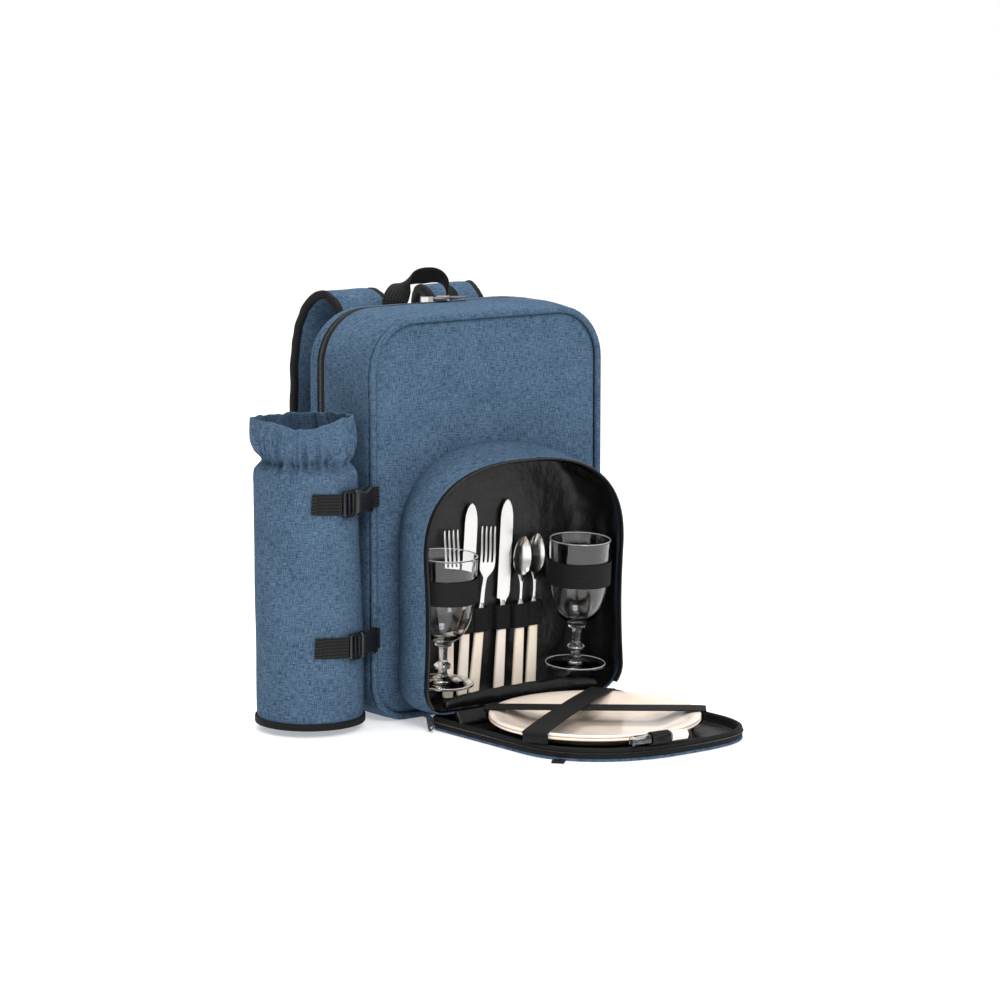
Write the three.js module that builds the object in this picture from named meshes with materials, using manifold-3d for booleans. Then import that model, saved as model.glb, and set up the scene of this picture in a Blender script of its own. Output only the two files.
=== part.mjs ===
import * as THREE from 'three';
import Module from 'manifold-3d';
import { mergeVertices } from 'three/addons/utils/BufferGeometryUtils.js';

// A cooler backpack standing on the floor with its front pocket unzipped and folded down.
// Millimetres, +Z up. The front faces -Y, the bottle pouch hangs on the -X side, the shoulder
// straps are at +Y. The origin is the middle of the main body's base, on the floor.

// Fits
const seamGap = 0.3;
const softGap = 0.8;

// Main body
const bodyHalfWidth = 139;
const bodyHeight = 394;
const bodyDepth = 120;
const bodyTopRadius = 54;
const bodyBottomRadius = 38;
const gussetWall = 3;
const sideBulge = 2;
const topBulge = 2.5;
const frontGussetDepth = 78;
const mainZipWidth = 11;
const mainZipThickness = 2;
const zipRecess = 0.6;
const coilRise = 1.2;
const mainZipEndHeight = 120;
const rearRounding = 36;
const pipingRadius = 3.4;
const frontPanelThickness = 4;
const frontBulge = 6;
const backPanelThickness = 7;
const backBulge = 4;

// Front pocket
const pocketBaseHalfWidth = 108;
const pocketMouthHalfWidth = 119;
const pocketDepth = 60;
const pocketBottom = 14;
const pocketBaseTop = 267;
const pocketMouthTop = 256;
const pocketSpring = 166;
const pocketCornerRadius = 27;
const pocketRoundness = 2.5;
const pocketPinch = 2.5;
const pocketSwell = 8.5;
const pocketWall = 2;
const liningThickness = 1.5;
const pocketZipDepth = 6;
const pocketZipThickness = 3;
const pocketZipEndHeight = 20;
const lipHeight = 15;
const lipDepth = 9;
const lipHalfLength = 92;

// Flap: the pocket's front, folded down on the floor
const flapOffset = 6;
const flapSkew = 14;
const flapHalfWidth = 111;
const flapHingeY = -105;
const flapLength = 235;
const flapArchLength = 92;
const flapLeftRoundness = 2.15;
const flapRightRoundness = 3.3;
const flapCornerRadius = 14;
const flapPanelThickness = 2;
const flapPanelEdge = 3.6;
const flapWallHeight = 13.2;
const flapWallThickness = 4.5;
const hingeHalfLength = 84;
const hingeDepth = 10;

// Cutlery and its elastic
const cutleryBandBottom = 80;
const cutleryBandWidth = 24;
const elasticThickness = 1.2;
const handleWidth = 12;
const handleThickness = 5;
const handleLength = 84;
const collarLength = 5;
const collarHalf = 3.4;
const steelThickness = 1.6;
const forkHeadWidth = 18;
const forkLength = 166;
const tineLength = 36;
const forkRoot = 17;
const knifeLength = 190;
const knifeBladeWidth = 15;
const spoonLength = 153;
const spoonBowlWidth = 22;
const spoonBowlLength = 40;
const spoonBowlDepth = 4;

// Goblets and their elastic bands
const gobletRadius = 30.7;
const gobletHeight = 128;
const gobletFootZ = 40;
const gobletWall = 1.8;
const gobletLean = 3.5;
const gobletBandWidth = 24;
const gobletBandShare = 0.745;
const gobletSeamShare = 0.45;

// Plates and the elastic bands that cross them
const plateMargin = 16;
const plateHeight = 16.4;
const plateThickness = 2.6;
const plateStack = 3.1;
const crossBandWidth = 25;
const crossBandRise = 1.7;
const crossBandTuck = 5;

// Shaker lying in a loop at the flap's end
const shakerRadius = 4.8;
const shakerTubeLength = 44;
const shakerCapLength = 18;
const shakerCentreX = -3;
const shakerInset = 4;
const shakerLoopWidth = 20;

// Bottle pouch on the -X side
const pouchRadius = 51.5;
const pouchHeight = 294;
const pouchBottom = 8;
const pouchY = -34;
const pouchWall = 2;
const pouchLean = 5;
const pouchPleats = 12;
const pouchDip = 3;
const pleatDepth = 2.4;
const pouchBindingHeight = 7;
const bindingThickness = 1.6;

// Webbing and buckles
const webbingWidth = 20;
const webbingThickness = 1.5;
const pouchWebStart = -117;
const upperWebHeight = 224;
const lowerWebHeight = 86;
const webRise = 1.5;
const buckleLead = 13;
const plugLength = 17;
const socketLength = 29;
const buckleWidth = 26;
const buckleThickness = 8;

// Grab handle
const grabWidth = 25;
const grabThickness = 2.4;
const grabLeftX = -41;
const grabRightX = 27;
const grabY = 41;
const grabRise = 34;

// Shoulder straps
const strapWidth = 64;
const strapThickness = 10;
const strapRootX = 57;
const strapReach = 66;
const lockLength = 22;
const lockThickness = 4;

// Zip sliders and the flap's tab
const sliderLength = 12;
const sliderWidth = 9;
const sliderHeight = 5;
const pullLength = 20;
const pullWidth = 8;
const pullThickness = 1.6;
const tabLength = 11;
const tabWidth = 12;

const DEG = Math.PI / 180;
const wasm = await Module();
wasm.setup();

const colours = {
  blueCloth: [0x5b6e81, 0.95, 0], blackWeb: [0x2d2f2e, 0.9, 0], lining: [0x2a2c2e, 0.6, 0],
  cream: [0xf2ddc6, 0.45, 0], steel: [0xd9d8d4, 0.25, 1], clear: [0xdfe6ea, 0.08, 0],
  buckle: [0x1d1e1f, 0.45, 0], zinc: [0x9c9c9a, 0.35, 1],
};
const materials = Object.fromEntries(Object.entries(colours).map(([name, [color, roughness, metalness]]) =>
  [name, new THREE.MeshStandardMaterial({ name, color, roughness, metalness })]));

const backpack = new THREE.Group();

// Helpers for points, rings and closed solids

const lerp = (a, b, t) => a + (b - a) * t;
const add = (a, b, scale = 1) => a.map((v, i) => v + b[i] * scale);
const cross = (a, b) => [a[1] * b[2] - a[2] * b[1], a[2] * b[0] - a[0] * b[2], a[0] * b[1] - a[1] * b[0]];
const unit = (a) => a.map((v) => v / Math.hypot(...a));

/** Points from a to b without b, in equal steps. */
function line(a, b, steps) {
  return Array.from({ length: steps }, (_, i) => a.map((v, k) => lerp(v, b[k], i / steps)));
}

/** Points of an arc in degrees, both ends included. */
function arc(centre, radius, from, to, steps) {
  return Array.from({ length: steps + 1 }, (_, i) => {
    const angle = lerp(from, to, i / steps) * DEG;
    return [centre[0] + radius * Math.cos(angle), centre[1] + radius * Math.sin(angle)];
  });
}

/** A closed geometry from points and triangles, turned so that its faces point out. */
function solid(points, triangles) {
  const volume = triangles.reduce((sum, [a, b, c]) => {
    const n = cross(points[b], points[c]);
    return sum + points[a][0] * n[0] + points[a][1] * n[1] + points[a][2] * n[2];
  }, 0);
  const outward = volume < 0 ? triangles.map(([a, b, c]) => [a, c, b]) : triangles;
  const geometry = new THREE.BufferGeometry();
  geometry.setAttribute('position', new THREE.Float32BufferAttribute(points.flat(), 3));
  geometry.setIndex(outward.flat());
  return geometry;
}

/** A solid through rings of equal count: wrapped round, or closed by a point or a flat cap at each end. */
function loft(rings, { wrap = false, start = null, end = null } = {}) {
  const count = rings[0].length;
  const points = rings.flat();
  const triangles = [];
  const last = wrap ? rings.length : rings.length - 1;
  for (let r = 0; r < last; r += 1) {
    const here = r * count;
    const next = ((r + 1) % rings.length) * count;
    for (let i = 0; i < count; i += 1) {
      const j = (i + 1) % count;
      triangles.push([here + i, here + j, next + j], [here + i, next + j, next + i]);
    }
  }
  const close = (base, tip, flip) => {
    const rim = Array.from({ length: count }, (_, i) => base + i);
    if (tip) {
      points.push(tip);
      rim.forEach((a, i) => triangles.push(order([rim[(i + 1) % count], a, points.length - 1], flip)));
      return;
    }
    for (let i = 1; i < count - 1; i += 1) triangles.push(order([rim[0], rim[i + 1], rim[i]], flip));
  };
  if (!wrap) {
    close(0, start, false);
    close((rings.length - 1) * count, end, true);
  }
  return solid(points, triangles);
}

function order([a, b, c], flip) {
  return flip ? [a, c, b] : [a, b, c];
}

/** Stations along a path with a width direction, or one each, and the direction across it. */
function stations(path, width, closed = false) {
  const n = path.length;
  return path.map((point, i) => {
    const before = path[closed ? (i + n - 1) % n : Math.max(i - 1, 0)];
    const after = path[closed ? (i + 1) % n : Math.min(i + 1, n - 1)];
    const along = unit(add(after, before, -1));
    const across = unit(cross(along, Array.isArray(width[0]) ? width[i] : width));
    return { point, side: unit(cross(across, along)), across };
  });
}

/** A section of [side, across] offsets carried along stations. */
function sweep(places, section, closed = false) {
  const rings = places.map(({ point, side, across }) =>
    section.map(([a, b]) => add(add(point, side, a), across, b)));
  return loft(rings, { wrap: closed });
}

/** A flat strip of webbing or elastic along a path. */
function strip(path, width, widthDirection, thickness) {
  const half = width / 2;
  const section = [[-half, 0], [half, 0], [half, thickness], [-half, thickness]];
  return sweep(stations(path, widthDirection), section);
}

/** A round section with a number of sides. */
function circle(radius, sides) {
  return arc([0, 0], radius, 0, 360 * (1 - 1 / sides), sides - 1);
}

/** A lathe about Z through [radius, height] rows that start and end on the axis. */
function turned(rows, segments) {
  const geometry = new THREE.LatheGeometry(rows.map(([r, z]) => new THREE.Vector2(r, z)), segments);
  return tidied(geometry).rotateX(Math.PI / 2);
}

/** A section's eight points: half widths a and b, with flats of the given shares between its chamfers. */
function chamfered(a, b, flatA, flatB) {
  const [p, q] = [flatA * a, flatB * b];
  return [[-a, -q], [-p, -b], [p, -b], [a, -q], [a, q], [p, b], [-p, b], [-a, q]];
}

/** A flat plate from an outline in X and Z, with holes, extruded along +Y and centred on it. */
function plateXZ(outline, holes, thickness) {
  const shape = new THREE.Shape(outline.map(([x, z]) => new THREE.Vector2(x, z)));
  shape.holes = holes.map((hole) => new THREE.Path(hole.map(([x, z]) => new THREE.Vector2(x, z))));
  const geometry = new THREE.ExtrudeGeometry(shape, { depth: thickness, bevelEnabled: false, curveSegments: 6 });
  return tidied(geometry.translate(0, 0, -thickness / 2)).rotateX(Math.PI / 2);
}

/** Only positions, with shared corners merged. */
function tidied(geometry) {
  geometry.deleteAttribute('normal');
  geometry.deleteAttribute('uv');
  return mergeVertices(geometry, 1e-4);
}

function asManifold(geometry) {
  const clean = tidied(geometry.clone());
  const vertProperties = new Float32Array(clean.attributes.position.array);
  const triVerts = new Uint32Array(clean.index.array);
  return new wasm.Manifold(new wasm.Mesh({ numProp: 3, vertProperties, triVerts }));
}

function asGeometry(manifold) {
  const mesh = manifold.getMesh();
  const geometry = new THREE.BufferGeometry();
  geometry.setAttribute('position', new THREE.Float32BufferAttribute(mesh.vertProperties, 3));
  geometry.setIndex(Array.from(mesh.triVerts));
  return geometry;
}

/** One body from several that overlap. */
function joined(geometries) {
  return asGeometry(geometries.map(asManifold).reduce((sum, body) => sum.add(body)));
}

/** The first geometry with the second cut away. */
function cut(body, tool) {
  const [kept, removed] = [body, tool].map(asManifold);
  return asGeometry(kept.subtract(removed));
}

/** Adds one named piece to the backpack. */
function piece(name, geometry, material, parent = backpack) {
  geometry.computeVertexNormals();
  const mesh = new THREE.Mesh(geometry, material);
  mesh.name = name;
  parent.add(mesh);
  return mesh;
}

// Main body

/** The body's rounded outline in X and Z, from the middle of the base round by +X. */
function bodyOutline({ half, bottom, top, topRadius, bottomRadius }) {
  return [
    ...line([0, bottom], [half - bottomRadius, bottom], 1),
    ...arc([half - bottomRadius, bottom + bottomRadius], bottomRadius, -90, 0, 4),
    ...line([half, bottom + bottomRadius], [half, top - topRadius], 4).slice(1),
    ...arc([half - topRadius, top - topRadius], topRadius, 0, 90, 6),
    ...line([half - topRadius, top], [topRadius - half, top], 4).slice(1),
    ...arc([topRadius - half, top - topRadius], topRadius, 90, 180, 6),
    ...line([-half, top - topRadius], [-half, bottom + bottomRadius], 4).slice(1),
    ...arc([bottomRadius - half, bottom + bottomRadius], bottomRadius, 180, 270, 4),
  ];
}

/** The swell of the gusset at a depth, from nothing at the seams to 1 halfway. */
function swell(y) {
  return Math.sin(Math.PI * (y / bodyDepth + 0.5));
}

/** The outline's sizes at a depth, drawn in by an inset. */
function bodySizes(y, inset) {
  return {
    half: bodyHalfWidth + sideBulge * swell(y) - inset,
    bottom: inset,
    top: bodyHeight + topBulge * swell(y) - inset,
    topRadius: bodyTopRadius - inset,
    bottomRadius: bodyBottomRadius - inset,
  };
}

function bodyRing(y, inset) {
  return bodyOutline(bodySizes(y, inset)).map(([x, z]) => [x, y, z]);
}

const frontY = -bodyDepth / 2;
const rearY = bodyDepth / 2;
const seamY = frontY + pipingRadius + seamGap;
const zipFrontY = frontY + frontGussetDepth;
const zipRearY = zipFrontY + mainZipWidth;
const panelInset = 2 * pipingRadius + 2 * seamGap;

function frontGusset() {
  const rows = [seamY, lerp(seamY, zipFrontY, 0.3), lerp(seamY, zipFrontY, 0.65), zipFrontY];
  const outer = rows.map((y) => bodyRing(y, 0));
  const inner = [rows[3], rows[0]].map((y) => bodyRing(y, gussetWall));
  return loft([...outer, ...inner], { wrap: true });
}

function rearGusset() {
  const start = zipRearY + seamGap;
  const rounding = [
    { back: 0.62, inset: 0 }, { back: 0.3, inset: 0.17 }, { back: 0.06, inset: 0.5 }, { back: 0, inset: 1 },
  ];
  const outer = rounding.map(({ back, inset }) =>
    bodyRing(rearY - back * (rearY - start), inset * rearRounding));
  const inner = rounding.map(({ back, inset }) =>
    bodyRing(rearY - back * (rearY - start) - gussetWall * inset,
      inset === 1 ? rearRounding : inset * rearRounding + gussetWall)).reverse();
  return loft([bodyRing(start, 0), ...outer, ...inner, bodyRing(start, gussetWall)], { wrap: true });
}

/** The zip's line up one side, over the top and down the other, or the strip under its ends. */
function bodyArch(y, inset) {
  const { half, top, topRadius } = bodySizes(y, inset);
  return [
    ...line([half, mainZipEndHeight], [half, top - topRadius], 4),
    ...arc([half - topRadius, top - topRadius], topRadius, 0, 90, 6),
    ...line([half - topRadius, top], [topRadius - half, top], 4).slice(1),
    ...arc([topRadius - half, top - topRadius], topRadius, 90, 180, 6),
    ...line([-half, top - topRadius], [-half, mainZipEndHeight], 4).slice(1),
    [-half, mainZipEndHeight],
  ].map(([x, z]) => [x, y, z]);
}

function baseArch(y, inset) {
  const { half, bottom, bottomRadius } = bodySizes(y, inset);
  const end = mainZipEndHeight - seamGap;
  return [
    [half, end],
    ...arc([half - bottomRadius, bottom + bottomRadius], bottomRadius, 0, -90, 4),
    ...arc([bottomRadius - half, bottom + bottomRadius], bottomRadius, 270, 180, 4),
    [-half, end],
  ].map(([x, z]) => [x, y, z]);
}

/** A solid through open lines of equal count that run side by side round a section. */
function lengthwise(lines) {
  return loft(lines[0].map((_, i) => lines.map((points) => points[i])));
}

function mainZip() {
  const [front, rear] = [zipFrontY + seamGap, zipRearY];
  const coil = (rear - front) * 0.12;
  const middle = (front + rear) / 2;
  return lengthwise([
    bodyArch(front, zipRecess), bodyArch(middle - coil, zipRecess), bodyArch(middle, zipRecess - coilRise),
    bodyArch(middle + coil, zipRecess), bodyArch(rear, zipRecess),
    bodyArch(rear, zipRecess + mainZipThickness), bodyArch(front, zipRecess + mainZipThickness),
  ]);
}

function baseGusset() {
  const [front, rear] = [zipFrontY + seamGap, zipRearY];
  return lengthwise([
    baseArch(front, 0), baseArch(rear, 0), baseArch(rear, gussetWall), baseArch(front, gussetWall),
  ]);
}

function frontPiping() {
  const { half, bottom, top, topRadius, bottomRadius } = bodySizes(frontY, pipingRadius + seamGap);
  const path = bodyOutline({ half, bottom, top, topRadius, bottomRadius }).map(([x, z]) => [x, frontY, z]);
  return sweep(stations(path, [0, 1, 0], true), circle(pipingRadius, 5), true);
}

const panelMiddle = bodyHeight / 2;
const panelHalfHeight = bodyHeight / 2 - panelInset;

/** The dome of a panel at a place, from nothing at its seam to 1 in the middle. */
function dome(x, z, half) {
  const across = Math.min(Math.abs(x) / half, 1);
  const along = Math.min(Math.abs(z - panelMiddle) / panelHalfHeight, 1);
  return (1 - across ** 2.6) * (1 - along ** 2.6);
}

function frontPanelY(x, z) {
  return frontY - frontBulge * dome(x, z, bodyHalfWidth - panelInset);
}

/** A domed panel in X and Z whose outer face bulges away from the body. */
function panel(edge, thickness, outerY, inward) {
  const scaled = (share, offset) => edge.map(([x, z]) => {
    const px = x * share;
    const pz = lerp(panelMiddle, z, share);
    return [px, outerY(px, pz) + offset, pz];
  });
  const centre = (offset) => [0, outerY(0, panelMiddle) + offset, panelMiddle];
  const back = inward * thickness;
  return loft(
    [scaled(0.5, back), scaled(1, back), scaled(1, 0), scaled(0.9, 0), scaled(0.7, 0), scaled(0.4, 0)],
    { start: centre(back), end: centre(0) });
}

function frontPanel() {
  return panel(bodyOutline(bodySizes(frontY, panelInset)), frontPanelThickness, frontPanelY, 1);
}

function backPanel() {
  const inset = rearRounding + seamGap;
  const outerY = (x, z) => rearY + backBulge * dome(x, z, bodyHalfWidth - inset);
  return panel(bodyOutline(bodySizes(rearY, inset)), backPanelThickness, outerY, -1);
}

piece('front_panel', frontPanel(), materials.blueCloth);
piece('front_piping', frontPiping(), materials.blueCloth);
piece('front_gusset', frontGusset(), materials.blueCloth);
piece('rear_gusset', rearGusset(), materials.blueCloth);
piece('base_gusset', baseGusset(), materials.blueCloth);
piece('back_panel', backPanel(), materials.blackWeb);
piece('main_zip', mainZip(), materials.blackWeb);

// Zip sliders

/** A geometry set down at a point with its own X and Z along two directions. */
function placed(geometry, point, xWay, zWay) {
  const x = new THREE.Vector3(...xWay).normalize();
  const y = new THREE.Vector3(...zWay).cross(x).normalize();
  const z = x.clone().cross(y);
  return geometry.applyMatrix4(new THREE.Matrix4().makeBasis(x, y, z).setPosition(...point));
}

/** A slider's body along X, standing on z = 0. */
function sliderBody() {
  const half = sliderWidth / 2;
  const rows = [{ x: -0.5, width: 1 }, { x: 0.1, width: 0.95 }, { x: 0.5, width: 0.7 }];
  const section = [[-half, 0], [half, 0], [0.7 * half, sliderHeight], [-0.7 * half, sliderHeight]];
  return loft(rows.map(({ x, width }) => section.map(([y, z]) => [x * sliderLength, y * width, z])));
}

/** A flat pull along X from its eye, with a round hole near its tip. */
function pullPlate() {
  const round = pullWidth / 2;
  const outline = [[0, -0.5 * round], ...arc([pullLength - round, 0], round, -90, 90, 6), [0, 0.5 * round]];
  const hole = circle(0.45 * round, 6).map(([x, y]) => [x + pullLength - round, y]);
  return plateXZ(outline, [hole], pullThickness).rotateX(-Math.PI / 2);
}

const zipMiddleY = (zipFrontY + zipRearY) / 2;
const ridgeZ = bodyHeight + topBulge * swell(zipMiddleY) + softGap;
const pullEye = sliderHeight - pullThickness;

for (const [i, { share, turn }] of [{ share: -0.1, turn: -30 }, { share: 0.043, turn: -38 }].entries()) {
  const slider = joined([sliderBody(), pullPlate().translate(0.25 * sliderLength, 0, pullEye)]);
  const mesh = piece(`zip_slider_${i + 1}`, slider, materials.zinc);
  mesh.position.set(share * bodyHalfWidth, zipMiddleY, ridgeZ);
  mesh.rotation.z = turn * DEG;
}

// Front pocket

/** An outline with an upright base, rounded bottom corners and an arched top, from the base's middle by +X. */
function archOutline({ half, bottom, spring, top, corner, roundness, leftRoundness = roundness, pinch }) {
  const side = line([half, bottom + corner], [half, spring], 4).slice(1);
  const pinched = side.map(([x, z]) => {
    const share = (z - bottom - corner) / (spring - bottom - corner);
    return [x - pinch * Math.sin(Math.PI * share), z];
  });
  const archSteps = 14;
  const arch = Array.from({ length: archSteps + 1 }, (_, i) => {
    const angle = (Math.PI * i) / archSteps;
    const power = 2 / (angle < Math.PI / 2 ? roundness : leftRoundness);
    return [half * Math.sign(Math.cos(angle)) * Math.abs(Math.cos(angle)) ** power,
      spring + (top - spring) * Math.sin(angle) ** power];
  });
  const right = [...arc([half - corner, bottom + corner], corner, -90, 0, 3), ...pinched];
  const left = right.map(([x, z]) => [-x, z]).reverse();
  return [[0, bottom], ...right, ...arch, ...left];
}

/** The pocket's outline between the body, share 0, and the mouth, share 1. */
function pocketOutline(share, inset) {
  const swelling = pocketSwell * Math.sin(Math.PI * share);
  return archOutline({
    half: lerp(pocketBaseHalfWidth, pocketMouthHalfWidth, share) + swelling - inset,
    bottom: pocketBottom + inset,
    spring: pocketSpring,
    top: lerp(pocketBaseTop, pocketMouthTop, share) - inset,
    corner: pocketCornerRadius - inset,
    roundness: pocketRoundness,
    pinch: pocketPinch * share,
  });
}

const mouthY = frontY - pocketDepth;
const pocketFloor = pocketBottom + pocketWall + seamGap + liningThickness;

/** A ring of the pocket, its base following the domed panel behind it. */
function pocketRing(share, inset, clearance = softGap) {
  return pocketOutline(share, inset).map(([x, z]) =>
    [x, lerp(frontPanelY(x, z) - clearance, mouthY, share), z]);
}

function pocketGusset() {
  const inner = [0, 0.5, 1].map((share) => pocketRing(share, pocketWall));
  const outer = [1, 0.7, 0.35, 0].map((share) => pocketRing(share, 0));
  return loft([...inner, ...outer], { wrap: true });
}

function pocketLining() {
  const skin = (inset, clearance, mouth) => {
    const back = pocketRing(0, inset, clearance);
    const middleZ = lerp(pocketBottom, pocketBaseTop, 0.5);
    const shrunk = (share) => back.map(([x, , z]) => {
      const [px, pz] = [x * share, lerp(middleZ, z, share)];
      return [px, frontPanelY(px, pz) - clearance, pz];
    });
    return {
      rings: [shrunk(0.5), back, pocketRing(0.5, inset, clearance), pocketRing(mouth, inset, clearance)],
      centre: [0, frontPanelY(0, middleZ) - clearance, middleZ],
    };
  };
  const outer = skin(pocketWall + seamGap, softGap, 0.99);
  const inner = skin(pocketWall + seamGap + liningThickness, softGap + liningThickness, 0.99);
  return loft([...outer.rings, ...inner.rings.reverse()], { start: outer.centre, end: inner.centre });
}

function pocketZip() {
  const along = (y, inset) => pocketOutline(1, inset)
    .filter(([, z]) => z > pocketZipEndHeight)
    .map(([x, z]) => [x, y, z]);
  const [back, front] = [mouthY - seamGap, mouthY - seamGap - pocketZipDepth];
  return lengthwise([along(back, -0.5), along(lerp(back, front, 0.6), -1), along(front, 0.6),
    along(front, pocketZipThickness), along(back, pocketZipThickness)]);
}

/** The rolled lip across the mouth's bottom, which droops a little to its ends. */
function pocketLip() {
  const floor = pocketFloor + seamGap;
  const y = mouthY + lipDepth / 2 + seamGap;
  const steps = 8;
  const rings = Array.from({ length: steps + 1 }, (_, i) => {
    const x = lerp(-lipHalfLength, lipHalfLength, i / steps);
    const height = lipHeight * (1 - 0.45 * (x / lipHalfLength) ** 4);
    return circle(1, 8).map(([a, b]) => [x, y + (a * lipDepth) / 2, floor + (height * (b + 1)) / 2]);
  });
  return loft(rings);
}

piece('pocket_gusset', pocketGusset(), materials.blueCloth);
piece('pocket_lining', pocketLining(), materials.lining);
piece('pocket_zip', pocketZip(), materials.blackWeb);
piece('pocket_lip', pocketLip(), materials.lining);

// Flap folded down on the floor

/** The flap's outline in X and Y, drawn in by an inset. */
function flapRing(inset, z) {
  const outline = archOutline({
    half: flapHalfWidth - inset, bottom: inset, spring: flapLength - flapArchLength,
    top: flapLength - inset, corner: flapCornerRadius - Math.min(inset, flapCornerRadius - 2),
    roundness: flapRightRoundness, leftRoundness: flapLeftRoundness, pinch: 0,
  });
  return outline.map(([x, along]) => [flapOffset + x + (flapSkew * along) / flapLength, flapHingeY - along, z]);
}

const flapCentre = (z) => [flapOffset + flapSkew / 2, flapHingeY - flapLength / 2, z];

function flapPanel() {
  const edge = flapPanelThickness / 2;
  return loft([flapRing(edge, 0), flapRing(0, edge), flapRing(0, flapPanelEdge),
    flapRing(flapPanelThickness, flapPanelEdge), flapRing(flapPanelThickness + 0.2, flapPanelThickness)],
    { start: flapCentre(0), end: flapCentre(flapPanelThickness) });
}

const trayFloor = flapPanelThickness + seamGap + liningThickness;

function flapLining() {
  const tuck = flapPanelThickness + 2 * seamGap;
  const bottom = flapPanelThickness + seamGap;
  const sill = flapPanelEdge + seamGap;
  const rings = [
    flapRing(tuck, bottom), flapRing(tuck, sill), flapRing(0.2, sill), flapRing(0.6, flapWallHeight - 2),
    flapRing(1.6, flapWallHeight), flapRing(flapWallThickness, flapWallHeight - 1),
    flapRing(flapWallThickness + 1, trayFloor + 2), flapRing(flapWallThickness + 1.8, trayFloor),
  ];
  return loft(rings, { start: flapCentre(bottom), end: flapCentre(trayFloor) });
}

/** The folded cloth that joins the tray to the pocket's lower edge. */
function flapHinge() {
  const low = trayFloor + seamGap;
  const under = pocketBottom - softGap;
  const face = mouthY - seamGap;
  const back = flapHingeY - flapWallThickness - 0.4 * hingeDepth;
  const section = [
    [back, low], [back, under], [face, under], [face - 0.18 * hingeDepth, under + 0.4 * hingeDepth],
    [face - 0.4 * hingeDepth, under], [face - hingeDepth, low],
  ];
  return loft([-hingeHalfLength, hingeHalfLength].map((x) => section.map(([y, z]) => [x, y, z])));
}

piece('flap_panel', flapPanel(), materials.blueCloth);
piece('flap_lining', flapLining(), materials.lining);
piece('flap_hinge', flapHinge(), materials.lining);

// The flap's slider sits on the wall's outer face, with its pull leaning out over the floor
const sliderX = flapOffset - flapHalfWidth - seamGap + 0.12 * flapCornerRadius;
const sliderPlace = [sliderX, flapHingeY - sliderLength / 3, flapWallHeight - sliderWidth / 2];
const pullPlace = [
  sliderX - 0.8 * sliderHeight, flapHingeY - sliderLength / 2, flapWallHeight - 0.2 * sliderHeight,
];
const flapSlider = joined([
  placed(sliderBody(), sliderPlace, [0, -1, 0], [-1, 0, 0]),
  placed(pullPlate(), pullPlace, [-0.3, -0.83, -0.47], [-0.84, 0, 0.54]),
]);
piece('flap_slider', flapSlider, materials.zinc);

/** A small folded tab with a ring, lying under the flap's near corner. */
function flapTab() {
  const outer = [[0, -tabWidth / 2], [tabLength, -tabWidth / 2], [tabLength, tabWidth / 2], [0, tabWidth / 2]];
  const hole = circle(tabWidth * 0.22, 6).map(([x, y]) => [x + tabLength * 0.6, y]);
  return plateXZ(outer, [hole], flapPanelThickness).rotateX(-Math.PI / 2);
}

const tabStation = 20;
const tab = piece('flap_tab', flapTab(), materials.blackWeb);
tab.position.set(...flapRing(-0.12 * tabWidth, flapPanelThickness / 2)[tabStation]);
tab.rotation.z = 225 * DEG;

// Cutlery standing in its elastic against the pocket's back

/** The half of a collar that stands in the handle, and the neck over it. */
const collar = [[collarHalf, -collarLength], [collarHalf, 0], [0.68 * collarHalf, 0.6 * collarLength]];
const mirrored = (points) => points.map(([x, z]) => [-x, z]).reverse();

/** A tined head, neck and collar, upright from z = 0 at the handle's top. */
function fork() {
  const top = forkLength - handleLength;
  const half = forkHeadWidth / 2;
  const tine = forkHeadWidth / 7;
  const tips = [0, 1, 2, 3].flatMap((i) => {
    const right = half - 2 * i * tine;
    const prong = [[right, top - 3], [right - 0.3 * tine, top], [right - 0.7 * tine, top], [right - tine, top - 3]];
    const root = [[right - tine, top - tineLength], [right - 2 * tine, top - tineLength]];
    return i < 3 ? [...prong, ...root] : prong;
  });
  const neck = top - tineLength - forkRoot;
  const right = [
    ...collar, [0.6 * collarHalf, neck], [0.7 * half, neck + 0.41 * forkRoot], [half, neck + 0.94 * forkRoot],
  ];
  return [...right, ...tips, ...mirrored(right)];
}

/** A blade with a rounded tip, a heel and a collar. */
function knife() {
  const top = knifeLength - handleLength;
  const half = knifeBladeWidth / 2;
  const blade = [[0.73, 0.085], [1, 0.13], [1, 0.79], [0.73, 0.905], [0.33, 0.98], [-0.07, 1], [-0.6, 0.95],
    [-1, 0.85], [-1, 0.075]].map(([across, up]) => [across * half, up * top]);
  return [...collar, ...blade, ...mirrored(collar)];
}

/** A dished bowl, stem and collar. */
function spoon() {
  const top = spoonLength - handleLength;
  const right = [...collar, [0.6 * collarHalf, top - 0.95 * spoonBowlLength]];
  const stem = [...right, ...mirrored(right)];
  const middle = top - spoonBowlLength / 2;
  const ring = (share, offset) => circle(1, 12).map(([a, b]) => [
    (a * share * spoonBowlWidth * (1 - 0.12 * b)) / 2, spoonBowlDepth * (1 - share ** 2) + offset,
    middle + (b * share * spoonBowlLength) / 2]);
  const [back, face] = [steelThickness / 2, -steelThickness / 2];
  const bowl = loft([ring(0.6, back), ring(1, back), ring(1, face), ring(0.6, face)], {
    start: [0, spoonBowlDepth + back, middle],
    end: [0, spoonBowlDepth + face, middle],
  });
  return joined([plateXZ(stem, [], steelThickness), bowl]);
}

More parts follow.
